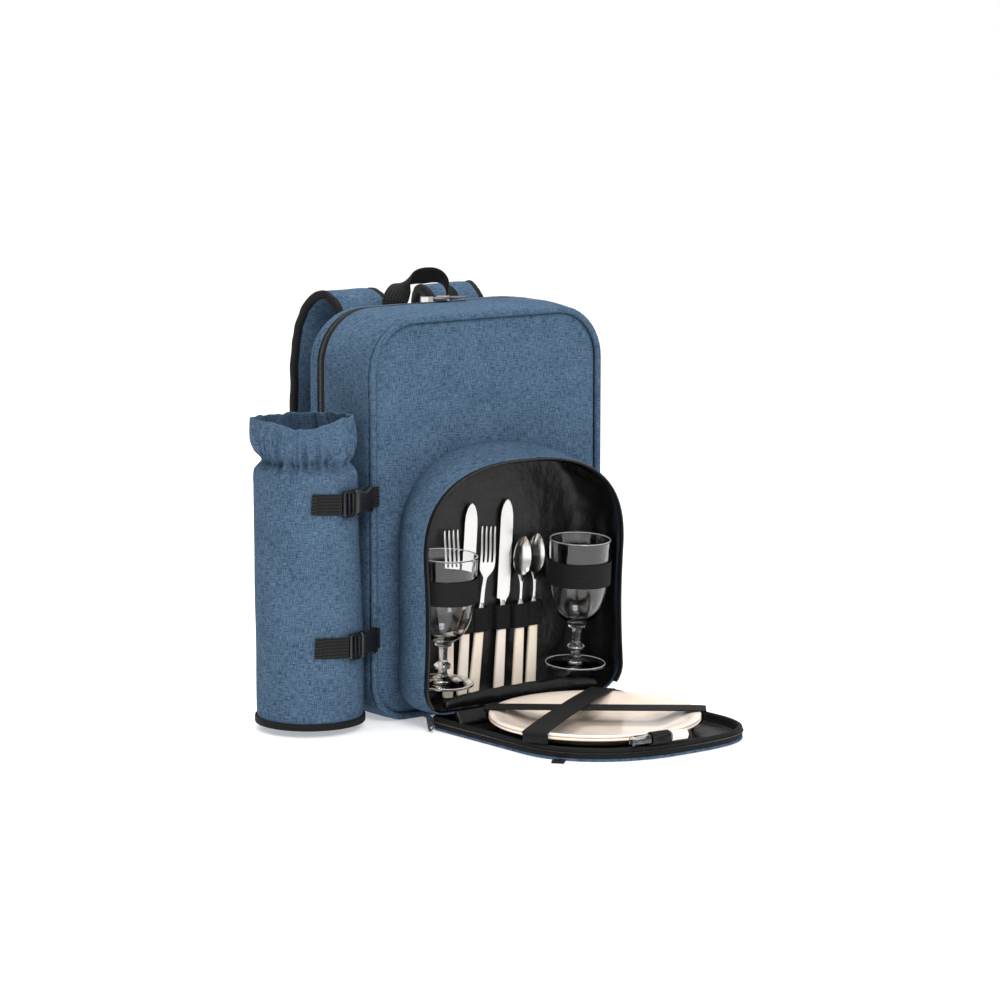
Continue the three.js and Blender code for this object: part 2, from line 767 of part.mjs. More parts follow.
/** A flat handle that widens to its rounded foot, hanging below z = 0. */
function handle() {
  const rows = [
    { down: 0, width: 0.72 }, { down: 0.08, width: 0.8 }, { down: 0.9, width: 1 }, { down: 1, width: 0.85 },
  ];
  const body = loft(rows.map(({ down, width }) =>
    chamfered((handleWidth * width) / 2, handleThickness / 2, 0.7, 0.5)
      .map(([x, y]) => [x, y, -down * handleLength])));
  const socket = [collarHalf, steelThickness / 2, collarLength].map((half) => 2 * (half + seamGap));
  return cut(body, new THREE.BoxGeometry(...socket));
}

// Each place across the pocket's back as a share of its half width
const places = [
  { kind: 'fork', share: -0.51, lean: 1.5, forward: 0 },
  { kind: 'knife', share: -0.324, lean: 4, forward: 0 },
  { kind: 'fork', share: -0.157, lean: 6.5, forward: 0 },
  { kind: 'knife', share: 0.083, lean: 3.5, forward: 0 },
  { kind: 'spoon', share: 0.256, lean: 3, forward: 0.9 },
  { kind: 'spoon', share: 0.434, lean: 3, forward: 0.15 },
].map(({ kind, share, lean, forward }) =>
  ({ kind, lean, x: share * pocketBaseHalfWidth, forward: forward * handleThickness }));
const handleTop = pocketFloor + softGap + handleLength;
const cutleryY = frontY - frontBulge - 2 * softGap - liningThickness - 2 * seamGap - handleThickness / 2;
const steels = {
  fork: () => plateXZ(fork(), [], steelThickness),
  knife: () => plateXZ(knife(), [], steelThickness),
  spoon,
};
const counts = {};
for (const { kind, x, lean, forward } of places) {
  counts[kind] = (counts[kind] ?? 0) + 1;
  const item = new THREE.Group();
  item.position.set(x, cutleryY - forward, handleTop);
  item.rotation.y = lean * DEG;
  piece(`${kind}_${counts[kind]}`, steels[kind](), materials.steel, item);
  piece(`${kind}_${counts[kind]}_handle`, handle(), materials.cream, item);
  backpack.add(item);
}

/** The lining's face at a place on the pocket's back, with a clearance. */
function liningY(x, z) {
  return frontPanelY(x, z) - softGap - liningThickness - 2 * seamGap;
}

/** The elastic that waves over the handles and is stitched down between them. */
function cutleryElastic() {
  const height = cutleryBandBottom + cutleryBandWidth / 2;
  const reach = handleWidth / 2 + 1.5 * elasticThickness;
  const path = places.flatMap(({ x, lean, forward }) => {
    const middle = x - (handleTop - height) * Math.tan(lean * DEG);
    const over = cutleryY - forward - handleThickness / 2 - 1.5 * seamGap;
    const seam = (px) => [px, liningY(px, cutleryBandBottom + cutleryBandWidth), height];
    const side = (way) => [
      seam(middle + way * (reach + 1.2 * elasticThickness)),
      [middle + way * (reach - 0.3 * elasticThickness), over + 1.2 * elasticThickness, height],
      [middle + way * (reach - 2 * elasticThickness), over, height],
    ];
    return [...side(-1), ...side(1).reverse()];
  });
  return strip(path, cutleryBandWidth, [0, 0, 1], elasticThickness);
}

piece('cutlery_elastic', cutleryElastic(), materials.blackWeb);

// Goblets and their bands

function goblet() {
  const bowl = [
    { height: 0.33, radius: 0.22 }, { height: 0.37, radius: 0.5 }, { height: 0.44, radius: 0.74 },
    { height: 0.55, radius: 0.9 }, { height: 0.7, radius: 0.97 }, { height: 0.85, radius: 0.99 },
    { height: 1, radius: 1 },
  ];
  const stem = [
    { height: 0.018, radius: 1 }, { height: 0.05, radius: 0.5 }, { height: 0.085, radius: 0.2 },
    { height: 0.11, radius: 0.15 }, { height: 0.14, radius: 0.27 }, { height: 0.17, radius: 0.15 },
    { height: 0.29, radius: 0.14 },
  ];
  const outer = [...stem, ...bowl].map(({ height, radius }) => [radius * gobletRadius, height * gobletHeight]);
  const inner = bowl.slice(1).reverse().map(({ height, radius }) =>
    [radius * gobletRadius - gobletWall, height * gobletHeight + (height < 1 ? 0.6 * gobletWall : 0)]);
  return turned([[0, 0], [gobletRadius, 0], ...outer, ...inner, [0, 0.35 * gobletHeight + gobletWall]], 14);
}

const gobletY = frontY - frontBulge - softGap - liningThickness - gobletRadius;

/** An elastic round the bowl's front whose ends go back to the lining. */
function gobletBand(x) {
  const radius = 0.98 * gobletRadius + 2 * seamGap;
  const height = gobletFootZ + gobletBandShare * gobletHeight;
  const seam = (side) => {
    const px = side * gobletSeamShare * gobletRadius;
    const leaned = gobletBandShare * gobletHeight * Math.sin(gobletLean * DEG);
    return [px, liningY(x + px, height + gobletBandWidth / 2) - gobletY + leaned - softGap, 0];
  };
  const path = [seam(-1), ...arc([0, 0], radius, 148, 392, 19).map(([px, py]) => [px, py, 0]), seam(1)];
  return strip(path, gobletBandWidth, [0, 0, 1], elasticThickness);
}

for (const [side, share] of [['left', -0.764], ['right', 0.731]]) {
  const x = share * pocketBaseHalfWidth;
  const held = new THREE.Group();
  held.position.set(x, gobletY, gobletFootZ);
  held.rotation.x = gobletLean * DEG;
  piece(`goblet_${side}`, goblet(), materials.clear, held);
  const band = piece(`goblet_band_${side}`, gobletBand(x), materials.blackWeb, held);
  band.position.z = gobletBandShare * gobletHeight;
  backpack.add(held);
}

// Plates, the bands over them and the shaker

const plateRadius = flapLength / 2 - plateMargin;

function plate() {
  const rise = plateHeight - plateThickness;
  const under = [[0, 0], [0.56, 0], [0.66, 0.12], [0.92, 0.93], [1, 1]];
  const rows = under.map(([r, z]) => [r * plateRadius, z * rise]);
  const over = under.slice(1).reverse().map(([r, z]) => [r * plateRadius, z * rise + plateThickness]);
  return turned([...rows, ...over, [0, plateThickness]], 32);
}

const plateFloor = trayFloor + seamGap;
const plateCentreX = flapOffset - 0.01 * flapHalfWidth;
const plateCentreY = flapHingeY - 0.523 * flapLength;
for (const [i, name] of ['plate_lower', 'plate_upper'].entries()) {
  piece(name, plate(), materials.cream).position.set(plateCentreX, plateCentreY, plateFloor + i * plateStack);
}
const plateRim = plateFloor + plateStack + plateHeight;

/** An elastic over the rim and across the plates, each end sewn to the tray's floor or to its wall. */
function crossBand({ angle, offset, lift, toWall }) {
  const way = [Math.cos(angle * DEG), Math.sin(angle * DEG), 0];
  const aside = [-way[1], way[0], 0];
  const centre = add([plateCentreX, plateCentreY, 0], aside, offset);
  const half = Math.sqrt(plateRadius ** 2 - (Math.abs(offset) - crossBandWidth / 2) ** 2) + softGap;
  const rim = plateRim + seamGap;
  const over = [
    [0.4 * half, rim + lift], [half - softGap, rim], [half + elasticThickness, rim - 1.6 * elasticThickness],
  ];
  const floor = [
    [half + softGap, plateRim - plateHeight], [half - crossBandTuck, trayFloor + seamGap + elasticThickness],
  ];
  const wall = [[half + elasticThickness, flapWallHeight + softGap]];
  const near = [...over, ...(toWall ? wall : floor)].map(([distance, z]) => [-distance, z]).reverse();
  const path = [...near, ...over, ...floor].map(([distance, z]) => add(add(centre, way, distance), [0, 0, z]));
  return strip(path, crossBandWidth, aside, elasticThickness);
}

const crossBands = [
  { angle: -37.8, offset: 0.167 * plateRadius, lift: 0, toWall: false },
  { angle: 34.8, offset: 0.246 * plateRadius, lift: crossBandRise, toWall: true },
];
crossBands.forEach((band, i) => piece(`cross_band_${i + 1}`, crossBand(band), materials.blackWeb));

const shakerZ = flapWallHeight + elasticThickness + 2 * seamGap + shakerRadius;

/** A round piece along X between two ends, with small chamfers. */
function bar(x0, x1, radius, sides) {
  const chamfer = radius / 6;
  const rows = [[x0, radius - chamfer], [x0 + chamfer, radius], [x1 - chamfer, radius], [x1, radius - chamfer]];
  return loft(rows.map(([x, r]) => circle(r, sides).map(([y, z]) => [x, y, z])));
}

function shakerLoop() {
  const inner = circle(shakerRadius + seamGap, 12);
  const outer = circle(shakerRadius + seamGap + elasticThickness, 12);
  const ring = (points, x) => points.map(([y, z]) => [x, y, z]);
  const half = shakerLoopWidth / 2;
  return loft([ring(outer, -half), ring(outer, half), ring(inner, half), ring(inner, -half)], { wrap: true });
}

const shaker = new THREE.Group();
shaker.position.set(shakerCentreX, flapHingeY - flapLength + shakerInset, shakerZ);
shaker.rotation.z = -4 * DEG;
const shakerLeft = -(shakerTubeLength + shakerCapLength) / 2;
const capStart = shakerLeft + shakerTubeLength;
piece('shaker_tube', bar(shakerLeft, capStart - seamGap, shakerRadius, 12), materials.clear, shaker);
piece('shaker_cap', bar(capStart, capStart + shakerCapLength, shakerRadius, 12), materials.cream, shaker);
piece('shaker_loop', shakerLoop(), materials.blackWeb, shaker);
backpack.add(shaker);

// Bottle pouch hung on the body's side

const pouchX = -(bodyHalfWidth + sideBulge * swell(pouchY) + softGap + pouchRadius);

/** The pouch from its base to the ruffle over the drawn neck. */
const pouchRows = [
  { height: 0, radius: 0.9, pleat: 0 }, { height: 0.02, radius: 1, pleat: 0 }, { height: 0.3, radius: 1, pleat: 0 },
  { height: 0.62, radius: 0.975, pleat: 0 }, { height: 0.8, radius: 0.965, pleat: 0.1 },
  { height: 0.83, radius: 0.93, pleat: 0.5 }, { height: 0.85, radius: 0.79, pleat: 0.9 },
  { height: 0.88, radius: 0.88, pleat: 1 }, { height: 0.93, radius: 0.9, pleat: 1 },
  { height: 1, radius: 0.86, pleat: 1 },
];

function pouchRing({ height, radius, pleat }, inset) {
  const steps = 3 * pouchPleats;
  const sag = pouchDip * Math.max(height - 0.93, 0) / 0.07;
  return Array.from({ length: steps }, (_, i) => {
    const angle = (2 * Math.PI * i) / steps;
    const reach = pouchRadius * radius - inset + pleatDepth * pleat * Math.cos(pouchPleats * angle);
    return [pouchX - pouchLean * height ** 2 + reach * Math.cos(angle), pouchY + reach * Math.sin(angle),
      pouchBottom + pouchHeight * height + sag * Math.sin(2 * angle + 0.6)];
  });
}

function pouchShell() {
  const inner = [9, 7, 6, 4, 1].map((row) => pouchRing(pouchRows[row], pouchWall));
  const outer = pouchRows.map((row) => pouchRing(row, 0));
  const base = (z) => [pouchX, pouchY, z];
  const floor = pouchBottom + pouchHeight * pouchRows[1].height;
  return loft([...outer, ...inner], { start: base(pouchBottom), end: base(floor) });
}

function pouchBinding() {
  const steps = 3 * pouchPleats;
  const ring = (grow, height) => Array.from({ length: steps }, (_, i) => {
    const angle = (2 * Math.PI * i) / steps;
    const reach = pouchRadius + grow;
    return [pouchX + reach * Math.cos(angle), pouchY + reach * Math.sin(angle), height];
  });
  const [low, high] = [pouchBottom - 1, pouchBottom - 1 + pouchBindingHeight];
  const outer = seamGap + bindingThickness;
  return loft([ring(seamGap, low), ring(outer, low), ring(outer, high), ring(seamGap, high)], { wrap: true });
}

piece('pouch_shell', pouchShell(), materials.blueCloth);
piece('pouch_binding', pouchBinding(), materials.blackWeb);

// The two buckled webbings from the pouch's front to the body's front seam

const seam = [
  -(bodyHalfWidth - 1.6 * pipingRadius - seamGap),
  frontY - pipingRadius - seamGap - webbingThickness,
];

/** The webbing's line at a height: round the pouch to a tangent point, then straight to the body's seam. */
function webCourse(z) {
  const share = (z - pouchBottom) / pouchHeight;
  const over = pouchRows.findIndex(({ height }) => height > share);
  const [low, high] = [pouchRows[over - 1], pouchRows[over]];
  const between = (share - low.height) / (high.height - low.height);
  const pleat = pleatDepth * lerp(low.pleat, high.pleat, between);
  const reach = pouchRadius * lerp(low.radius, high.radius, between) + pleat;
  const centre = [pouchX - pouchLean * share ** 2, pouchY];
  const radius = reach + 2 * seamGap;
  const away = [seam[0] - centre[0], seam[1] - centre[1]];
  const angle = Math.atan2(away[1], away[0]) - Math.acos(radius / Math.hypot(...away));
  const tangent = [centre[0] + radius * Math.cos(angle), centre[1] + radius * Math.sin(angle)];
  const way = unit([seam[0] - tangent[0], seam[1] - tangent[1], 0]);
  const run = Math.hypot(seam[0] - tangent[0], seam[1] - tangent[1]);
  const onRun = (distance) => [tangent[0] + way[0] * distance, tangent[1] + way[1] * distance, z];
  return { z, centre, radius, angle, way, run, onRun };
}

function pouchWeb({ z, centre, radius, angle }) {
  const stop = angle / DEG - (buckleLead + 3 * softGap) / radius / DEG;
  const steps = 7;
  const path = arc(centre, radius, pouchWebStart, stop, steps)
    .map(([x, y], i) => [x, y, z + webRise * (1 - i / steps)]);
  return strip(path, webbingWidth, [0, 0, 1], webbingThickness);
}

function anchorWeb({ run, onRun }) {
  const start = plugLength + socketLength - buckleLead + 2 * seamGap;
  const path = [onRun(start), onRun(lerp(start, run, 0.5)), onRun(run)];
  return strip(path, webbingWidth, [0, 0, 1], webbingThickness);
}

/** The buckle's ladder end, a frame with two bars, along +X from 0. */
function bucklePlug() {
  const half = buckleWidth / 2;
  const window = (x0, x1, reach) => [[x0, -reach], [x1, -reach], [x1, reach], [x0, reach]];
  const edge = 0.12 * plugLength;
  const outline = [[0, -half + edge], [edge, -half], [plugLength - edge, -half], [plugLength, -0.7 * half],
    [plugLength, 0.7 * half], [plugLength - edge, half], [edge, half], [0, half - edge]];
  return plateXZ(outline, [window(0.15 * plugLength, 0.38 * plugLength, 0.78 * half),
    window(0.52 * plugLength, 0.75 * plugLength, 0.72 * half)], 0.5 * buckleThickness);
}

/** The buckle's socket, waisted where the prongs show. */
function buckleSocket() {
  const rows = [
    { x: 0, width: 0.92, thick: 0.8 }, { x: 0.15, width: 1, thick: 1 }, { x: 0.45, width: 0.74, thick: 1 },
    { x: 0.62, width: 0.8, thick: 0.95 }, { x: 0.85, width: 1, thick: 0.7 }, { x: 1, width: 0.96, thick: 0.5 },
  ];
  return loft(rows.map(({ x, width, thick }) =>
    chamfered((buckleWidth * width) / 2, (buckleThickness * thick) / 2, 0.8, 0.5)
      .map(([z, y]) => [x * socketLength, y, z])));
}

for (const [name, z] of [['upper', upperWebHeight], ['lower', lowerWebHeight]]) {
  const course = webCourse(z);
  const { way, onRun } = course;
  const outwards = [way[1], -way[0], 0];
  const lift = 0.41 * buckleThickness;
  const plugMiddle = add(onRun(-buckleLead), outwards, lift);
  const socketMiddle = add(onRun(plugLength - buckleLead + seamGap), outwards, lift);
  piece(`pouch_web_${name}`, pouchWeb(course), materials.blackWeb);
  piece(`anchor_web_${name}`, anchorWeb(course), materials.blackWeb);
  piece(`buckle_plug_${name}`, placed(bucklePlug(), plugMiddle, way, [0, 0, 1]), materials.buckle);
  piece(`buckle_socket_${name}`, placed(buckleSocket(), socketMiddle, way, [0, 0, 1]), materials.buckle);
}

// Grab handle

/** The handle's webbing, its feet across the top seam and its bow turned so that the near edge stands up. */
function grabHandle() {
  const footZ = bodyHeight + topBulge * swell(grabY) + 2 * softGap;
  const rows = [
    { across: -0.5, rise: 0 }, { across: -0.5, rise: 0.1 }, { across: -0.45, rise: 0.3 },
    { across: -0.395, rise: 0.5 }, { across: -0.32, rise: 0.73 }, { across: -0.21, rise: 0.92 },
    { across: -0.08, rise: 1 }, { across: 0.08, rise: 1 }, { across: 0.21, rise: 0.92 },
    { across: 0.32, rise: 0.73 }, { across: 0.395, rise: 0.5 }, { across: 0.45, rise: 0.3 },
    { across: 0.5, rise: 0.1 }, { across: 0.5, rise: 0 },
  ];
  const middle = (grabLeftX + grabRightX) / 2;
  const path = rows.map(({ across, rise }) =>
    [middle + across * (grabRightX - grabLeftX), grabY, footZ + rise * (grabRise - grabWidth * 0.34)]);
  const widths = rows.map(({ across, rise }) => {
    const turn = (1 - rise) ** 0.7;
    return unit([0.94 * Math.sign(across) * turn, lerp(0.73, 0.34, turn), -0.68 * (1 - turn)]);
  });
  const half = grabWidth / 2;
  return sweep(stations(path, widths), [[-half, 0], [half, 0], [half, grabThickness], [-half, grabThickness]]);
}

piece('grab_handle', grabHandle(), materials.blackWeb);

// Shoulder straps

/** The strap's middle from its root behind the top edge, over and down the back, to its lower end. */
const strapRows = [
  { back: 0.1, height: 0.905, aside: 0 }, { back: 0.115, height: 0.955, aside: 0 },
  { back: 0.2, height: 0.987, aside: 0 }, { back: 0.36, height: 1.01, aside: 0.015 },
  { back: 0.56, height: 1.018, aside: 0.045 },
  { back: 0.76, height: 1.002, aside: 0.106 }, { back: 0.9, height: 0.968, aside: 0.167 },
  { back: 0.98, height: 0.917, aside: 0.227 }, { back: 1, height: 0.85, aside: 0.273 },
  { back: 0.99, height: 0.74, aside: 0.303 }, { back: 0.93, height: 0.63, aside: 0.348 },
  { back: 0.82, height: 0.53, aside: 0.41 }, { back: 0.684, height: 0.444, aside: 0.455 },
];

function strapPath(side) {
  return strapRows.map(({ back, height, aside }) =>
    [side * (strapRootX + aside * strapReach), rearY + back * strapReach, height * bodyHeight]);
}

function shoulderStrap(side) {
  const section = chamfered(strapWidth / 2, strapThickness / 2, 0.88, 0.35);
  return sweep(stations(strapPath(side), [1, 0, 0]), section);
}

/** The ladder lock at the strap's end and the webbing from it to the body's lower corner. */
function strapEnd(side) {
  const end = strapPath(side).at(-1);
  const corner = [
    side * (bodyHalfWidth - bodyBottomRadius - webbingWidth / 2),
    rearY + 0.1 * backBulge + softGap + webbingThickness,
    bodyBottomRadius,
  ];
  return { end, corner, way: unit(add(corner, end, -1)) };
}

function ladderLock(side) {
  const { end, way } = strapEnd(side);
  const half = 0.8 * webbingWidth;
  const slotWidth = 0.18 * lockLength;
  const slot = (x, reach) => [[x, -reach], [x + slotWidth, -reach], [x + slotWidth, reach], [x, reach]];
  const frame = plateXZ([[0, -half], [lockLength, -half], [lockLength, half], [0, half]],
    [slot(0.14 * lockLength, 0.83 * half), slot(0.68 * lockLength, 0.8 * half)], lockThickness);
  return placed(frame, add(end, way, 0.5 * strapThickness), way, [1, 0, 0]);
}

function lowerWeb(side) {
  const { end, corner, way } = strapEnd(side);
  const start = add(end, way, 0.5 * strapThickness + lockLength + seamGap);
  const path = [start, add(start, add(corner, start, -1), 0.5), corner];
  return strip(path, webbingWidth, [1, 0, 0], webbingThickness);
}

for (const [name, side] of [['left', -1], ['right', 1]]) {
  piece(`shoulder_strap_${name}`, shoulderStrap(side), materials.blueCloth);
  piece(`ladder_lock_${name}`, ladderLock(side), materials.buckle);
  piece(`strap_web_${name}`, lowerWeb(side), materials.blackWeb);
}

export default backpack;
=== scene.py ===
"""A cooler backpack with its front pocket open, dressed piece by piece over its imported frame."""

import logging
import math
from dataclasses import dataclass
from enum import Enum
from typing import Callable, Iterable, Sequence

import bmesh
import bpy
from bmesh.types import BMesh, BMVert
from mathutils import Matrix, Vector, noise


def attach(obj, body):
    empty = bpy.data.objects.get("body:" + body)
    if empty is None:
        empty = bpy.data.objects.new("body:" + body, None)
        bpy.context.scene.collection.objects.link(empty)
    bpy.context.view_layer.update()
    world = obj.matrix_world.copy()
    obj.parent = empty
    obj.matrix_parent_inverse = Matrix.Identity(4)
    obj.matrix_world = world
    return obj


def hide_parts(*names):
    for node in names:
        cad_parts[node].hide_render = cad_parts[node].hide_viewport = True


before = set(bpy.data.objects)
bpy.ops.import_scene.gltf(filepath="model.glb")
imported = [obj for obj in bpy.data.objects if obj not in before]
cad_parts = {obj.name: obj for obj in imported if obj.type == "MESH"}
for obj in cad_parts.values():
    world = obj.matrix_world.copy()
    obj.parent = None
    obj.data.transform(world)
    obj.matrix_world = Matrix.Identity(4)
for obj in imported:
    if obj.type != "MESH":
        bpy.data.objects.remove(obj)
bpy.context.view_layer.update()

LOG = logging.getLogger("backpack")
METRES = 0.001
SEAM_GAP = 0.3
SOFT_GAP = 0.8

Point = tuple[float, float, float]
Flat = tuple[float, float]
Ring = list[Point]


class Coordinates(Enum):
    """Where a finish reads its pattern from."""

    WEAVE = "weave"
    OBJECT = "object"


class Finish:
    """A material under construction, with short names for the nodes that cloth and plastic need."""

    def __init__(self, name: str, coordinates: Coordinates = Coordinates.OBJECT) -> None:
        """Starts an empty node tree with a principled shader.

        Args:
            name: The material's name.
            coordinates: Where its patterns are read from.
        """
        self.material = bpy.data.materials.new(name)
        self.material.use_nodes = True
        self.tree = self.material.node_tree
        self.tree.nodes.clear()
        self.shader = self.tree.nodes.new("ShaderNodeBsdfPrincipled")
        output = self.tree.nodes.new("ShaderNodeOutputMaterial")
        self.tree.links.new(self.shader.outputs["BSDF"], output.inputs["Surface"])
        if coordinates is Coordinates.WEAVE:
            source = self.tree.nodes.new("ShaderNodeUVMap")
            source.uv_map = Coordinates.WEAVE.value
            self.place = source.outputs["UV"]
        else:
            self.place = self.tree.nodes.new("ShaderNodeTexCoord").outputs["Object"]

    def constants(self, **values: object) -> "Finish":
        """Sets constants on the shader's own sockets.

        Args:
            values: A socket's name with underscores for spaces, and its value.

        Returns:
            The finish itself.
        """
        for name, value in values.items():
            socket = self.shader.inputs[name.replace("_", " ")]
            socket.default_value = (*value, 1.0) if isinstance(value, tuple) else value
        return self

    def scaled(self, x: float, y: float, z: float = 1.0) -> bpy.types.NodeSocket:
        """The coordinates with each axis multiplied.

        Args:
            x: Repeats per metre along the first axis.
            y: Repeats per metre along the second axis.
            z: Repeats per metre along the third axis.

        Returns:
            The scaled vector.
        """
        mapping = self.tree.nodes.new("ShaderNodeMapping")
        mapping.inputs["Scale"].default_value = (x, y, z)
        self.tree.links.new(self.place, mapping.inputs["Vector"])
        return mapping.outputs["Vector"]

    def noise(self, vector: bpy.types.NodeSocket, detail: float = 2.0) -> bpy.types.NodeSocket:
        """Soft noise over a vector.

        Args:
            vector: The place it is read at.
            detail: The number of finer layers.

        Returns:
            The noise's value from 0 to 1.
        """
        node = self.tree.nodes.new("ShaderNodeTexNoise")
        node.inputs["Scale"].default_value = 1.0
        node.inputs["Detail"].default_value = detail
        self.tree.links.new(vector, node.inputs["Vector"])
        return node.outputs["Fac"]

    def ribs(self, axis: int, pitch: float) -> bpy.types.NodeSocket:
        """Even ribs across one axis of the coordinates.

        Args:
            axis: The axis that the ribs follow one another along.
            pitch: From rib to rib, in metres.

        Returns:
            A wave from -1 to 1.
        """
        split = self.tree.nodes.new("ShaderNodeSeparateXYZ")
        self.tree.links.new(self.place, split.inputs["Vector"])
        return self.sum("SINE", self.sum("MULTIPLY", split.outputs[axis], 2 * math.pi / pitch), 0.0)

    def sum(self, operation: str, a: object, b: object) -> bpy.types.NodeSocket:
        """One math node.

        Args:
            operation: The node's operation.
            a: A socket or a number.
            b: A socket or a number.

        Returns:
            The result.
        """
        node = self.tree.nodes.new("ShaderNodeMath")
        node.operation = operation
        for i, value in enumerate((a, b)):
            if isinstance(value, bpy.types.NodeSocket):
                self.tree.links.new(value, node.inputs[i])
            else:
                node.inputs[i].default_value = value
        return node.outputs["Value"]

    def shade(self, value: bpy.types.NodeSocket, stops: Sequence[tuple[float, Point]]) -> "Finish":
        """Colours the surface by a value.

        Args:
            value: The value that picks the colour.
            stops: Each place on the ramp with its linear colour.

        Returns:
            The finish itself.
        """
        ramp = self.tree.nodes.new("ShaderNodeValToRGB")
        elements = ramp.color_ramp.elements
        while len(elements) < len(stops):
            elements.new(0.5)
        for element, (position, colour) in zip(elements, stops):
            element.position = position
            element.color = (*colour, 1.0)
        self.tree.links.new(value, ramp.inputs["Fac"])
        self.tree.links.new(ramp.outputs["Color"], self.shader.inputs["Base Color"])
        return self

    def varied(self, socket: str, value: bpy.types.NodeSocket, low: float, high: float) -> "Finish":
        """Drives a shader socket between two values.

        Args:
            socket: The socket's name.
            value: The value from 0 to 1 that moves it.
            low: The socket's value at 0.
            high: The socket's value at 1.

        Returns:
            The finish itself.
        """
        node = self.tree.nodes.new("ShaderNodeMapRange")
        node.inputs["To Min"].default_value = low
        node.inputs["To Max"].default_value = high
        self.tree.links.new(value, node.inputs["Value"])
        self.tree.links.new(node.outputs["Result"], self.shader.inputs[socket])
        return self

    def relief(self, height: bpy.types.NodeSocket, depth: float, strength: float = 1.0) -> "Finish":
        """Raises the surface by a height, over any relief it has already.

        Args:
            height: The height from 0 to 1.
            depth: The depth of the relief, in metres.
            strength: How strongly it shades.

        Returns:
            The finish itself.
        """
        bump = self.tree.nodes.new("ShaderNodeBump")
        bump.inputs["Strength"].default_value = strength
        bump.inputs["Distance"].default_value = depth
        self.tree.links.new(height, bump.inputs["Height"])
        normal = self.shader.inputs["Normal"]
        if normal.links:
            self.tree.links.new(normal.links[0].from_socket, bump.inputs["Normal"])
        self.tree.links.new(bump.outputs["Normal"], normal)
        return self


@dataclass(frozen=True)
class MelangeCloth:
    """Plain weave of light and dark threads that show as short crossed streaks."""

    name: str = "melange_cloth"
    dark: Point = (0.02, 0.04, 0.072)
    middle: Point = (0.05, 0.087, 0.138)
    light: Point = (0.088, 0.143, 0.212)
    thread: float = 0.00078
    streak: float = 0.0072

    def make(self) -> bpy.types.Material:
        """The finished material."""
        finish = Finish(self.name, Coordinates.WEAVE).constants(Roughness=0.92)
        finish.constants(Specular_IOR_Level=0.06)
        warp = finish.noise(finish.scaled(1 / self.thread, 1 / self.streak), 1.0)
        weft = finish.noise(finish.scaled(1 / self.streak, 1 / self.thread), 1.0)
        patch = finish.noise(finish.scaled(30.0, 30.0), 2.0)
        threads = finish.sum("MAXIMUM", warp, weft)
        tone = finish.sum("ADD", threads, finish.sum("MULTIPLY", patch, 0.16))
        finish.shade(tone, ((0.5, self.light), (0.655, self.middle), (0.83, self.dark)))
        return finish.relief(finish.sum("SUBTRACT", 1.0, threads), 0.0003, 0.35).material


@dataclass(frozen=True)
class RibbedWebbing:
    """Black woven tape with ribs along or across it."""

    name: str
    tone: float = 0.013
    across: float = 0.0
    along: float = 0.0
    depth: float = 0.0005
    roughness: float = 0.72

    def make(self) -> bpy.types.Material:
        """The finished material."""
        finish = Finish(self.name, Coordinates.WEAVE)
        finish.constants(Roughness=self.roughness, Specular_IOR_Level=0.14)
        fibre = finish.noise(finish.scaled(900.0, 900.0), 2.0)
        value = fibre
        for axis, pitch in ((1, self.across), (0, self.along)):
            if pitch:
                rib = finish.sum("MULTIPLY_ADD", finish.ribs(axis, pitch), 0.5)
                rib.node.inputs[2].default_value = 0.5
                finish.relief(rib, self.depth, 0.8)
                value = finish.sum("ADD", finish.sum("MULTIPLY", rib, 0.5),
                                   finish.sum("MULTIPLY", value, 0.5))
        t = self.tone
        finish.shade(value, ((0.25, (0.45 * t, 0.45 * t, 0.47 * t)), (0.75, (1.5 * t, 1.55 * t, 1.5 * t))))
        return finish.relief(fibre, 0.0002, 0.4).material


@dataclass(frozen=True)
class SatinLining:
    """Black coated lining, smooth with a soft sheen and small creases, with painted shade darkening the
    creases' hollows.
    """

    name: str = "satin_lining"
    tone: float = 0.005

    def make(self) -> bpy.types.Material:
        """The finished material."""
        finish = Finish(self.name).constants(Roughness=0.34, Specular_IOR_Level=0.34)
        crease = finish.noise(finish.scaled(38.0, 38.0, 26.0), 4.0)
        fine = finish.noise(finish.scaled(1500.0, 1500.0, 1500.0), 1.0)
        t = self.tone
        # painted shade: the colour follows the crease relief, darker where it is low
        finish.shade(crease, ((0.35, (0.7 * t, 0.72 * t, 0.72 * t)), (0.7, (1.35 * t, 1.35 * t, 1.45 * t))))
        finish.varied("Roughness", fine, 0.3, 0.46)
        return finish.relief(crease, 0.006, 0.6).relief(fine, 0.0001, 0.3).material


@dataclass(frozen=True)
class SpacerMesh:
    """Black knitted mesh with rows of small eyes."""

    name: str = "spacer_mesh"
    pitch: float = 0.0034

    def make(self) -> bpy.types.Material:
        """The finished material."""
        finish = Finish(self.name).constants(Roughness=0.9, Sheen_Weight=0.2)
        columns = finish.ribs(0, self.pitch)
        rows = finish.ribs(2, self.pitch * 0.8)
        eyes = finish.sum("MULTIPLY_ADD", finish.sum("MULTIPLY", columns, rows), 0.5)
        eyes.node.inputs[2].default_value = 0.5
        finish.shade(eyes, ((0.3, (0.004, 0.004, 0.0045)), (0.6, (0.022, 0.023, 0.024))))
        return finish.relief(eyes, 0.0008, 0.9).material


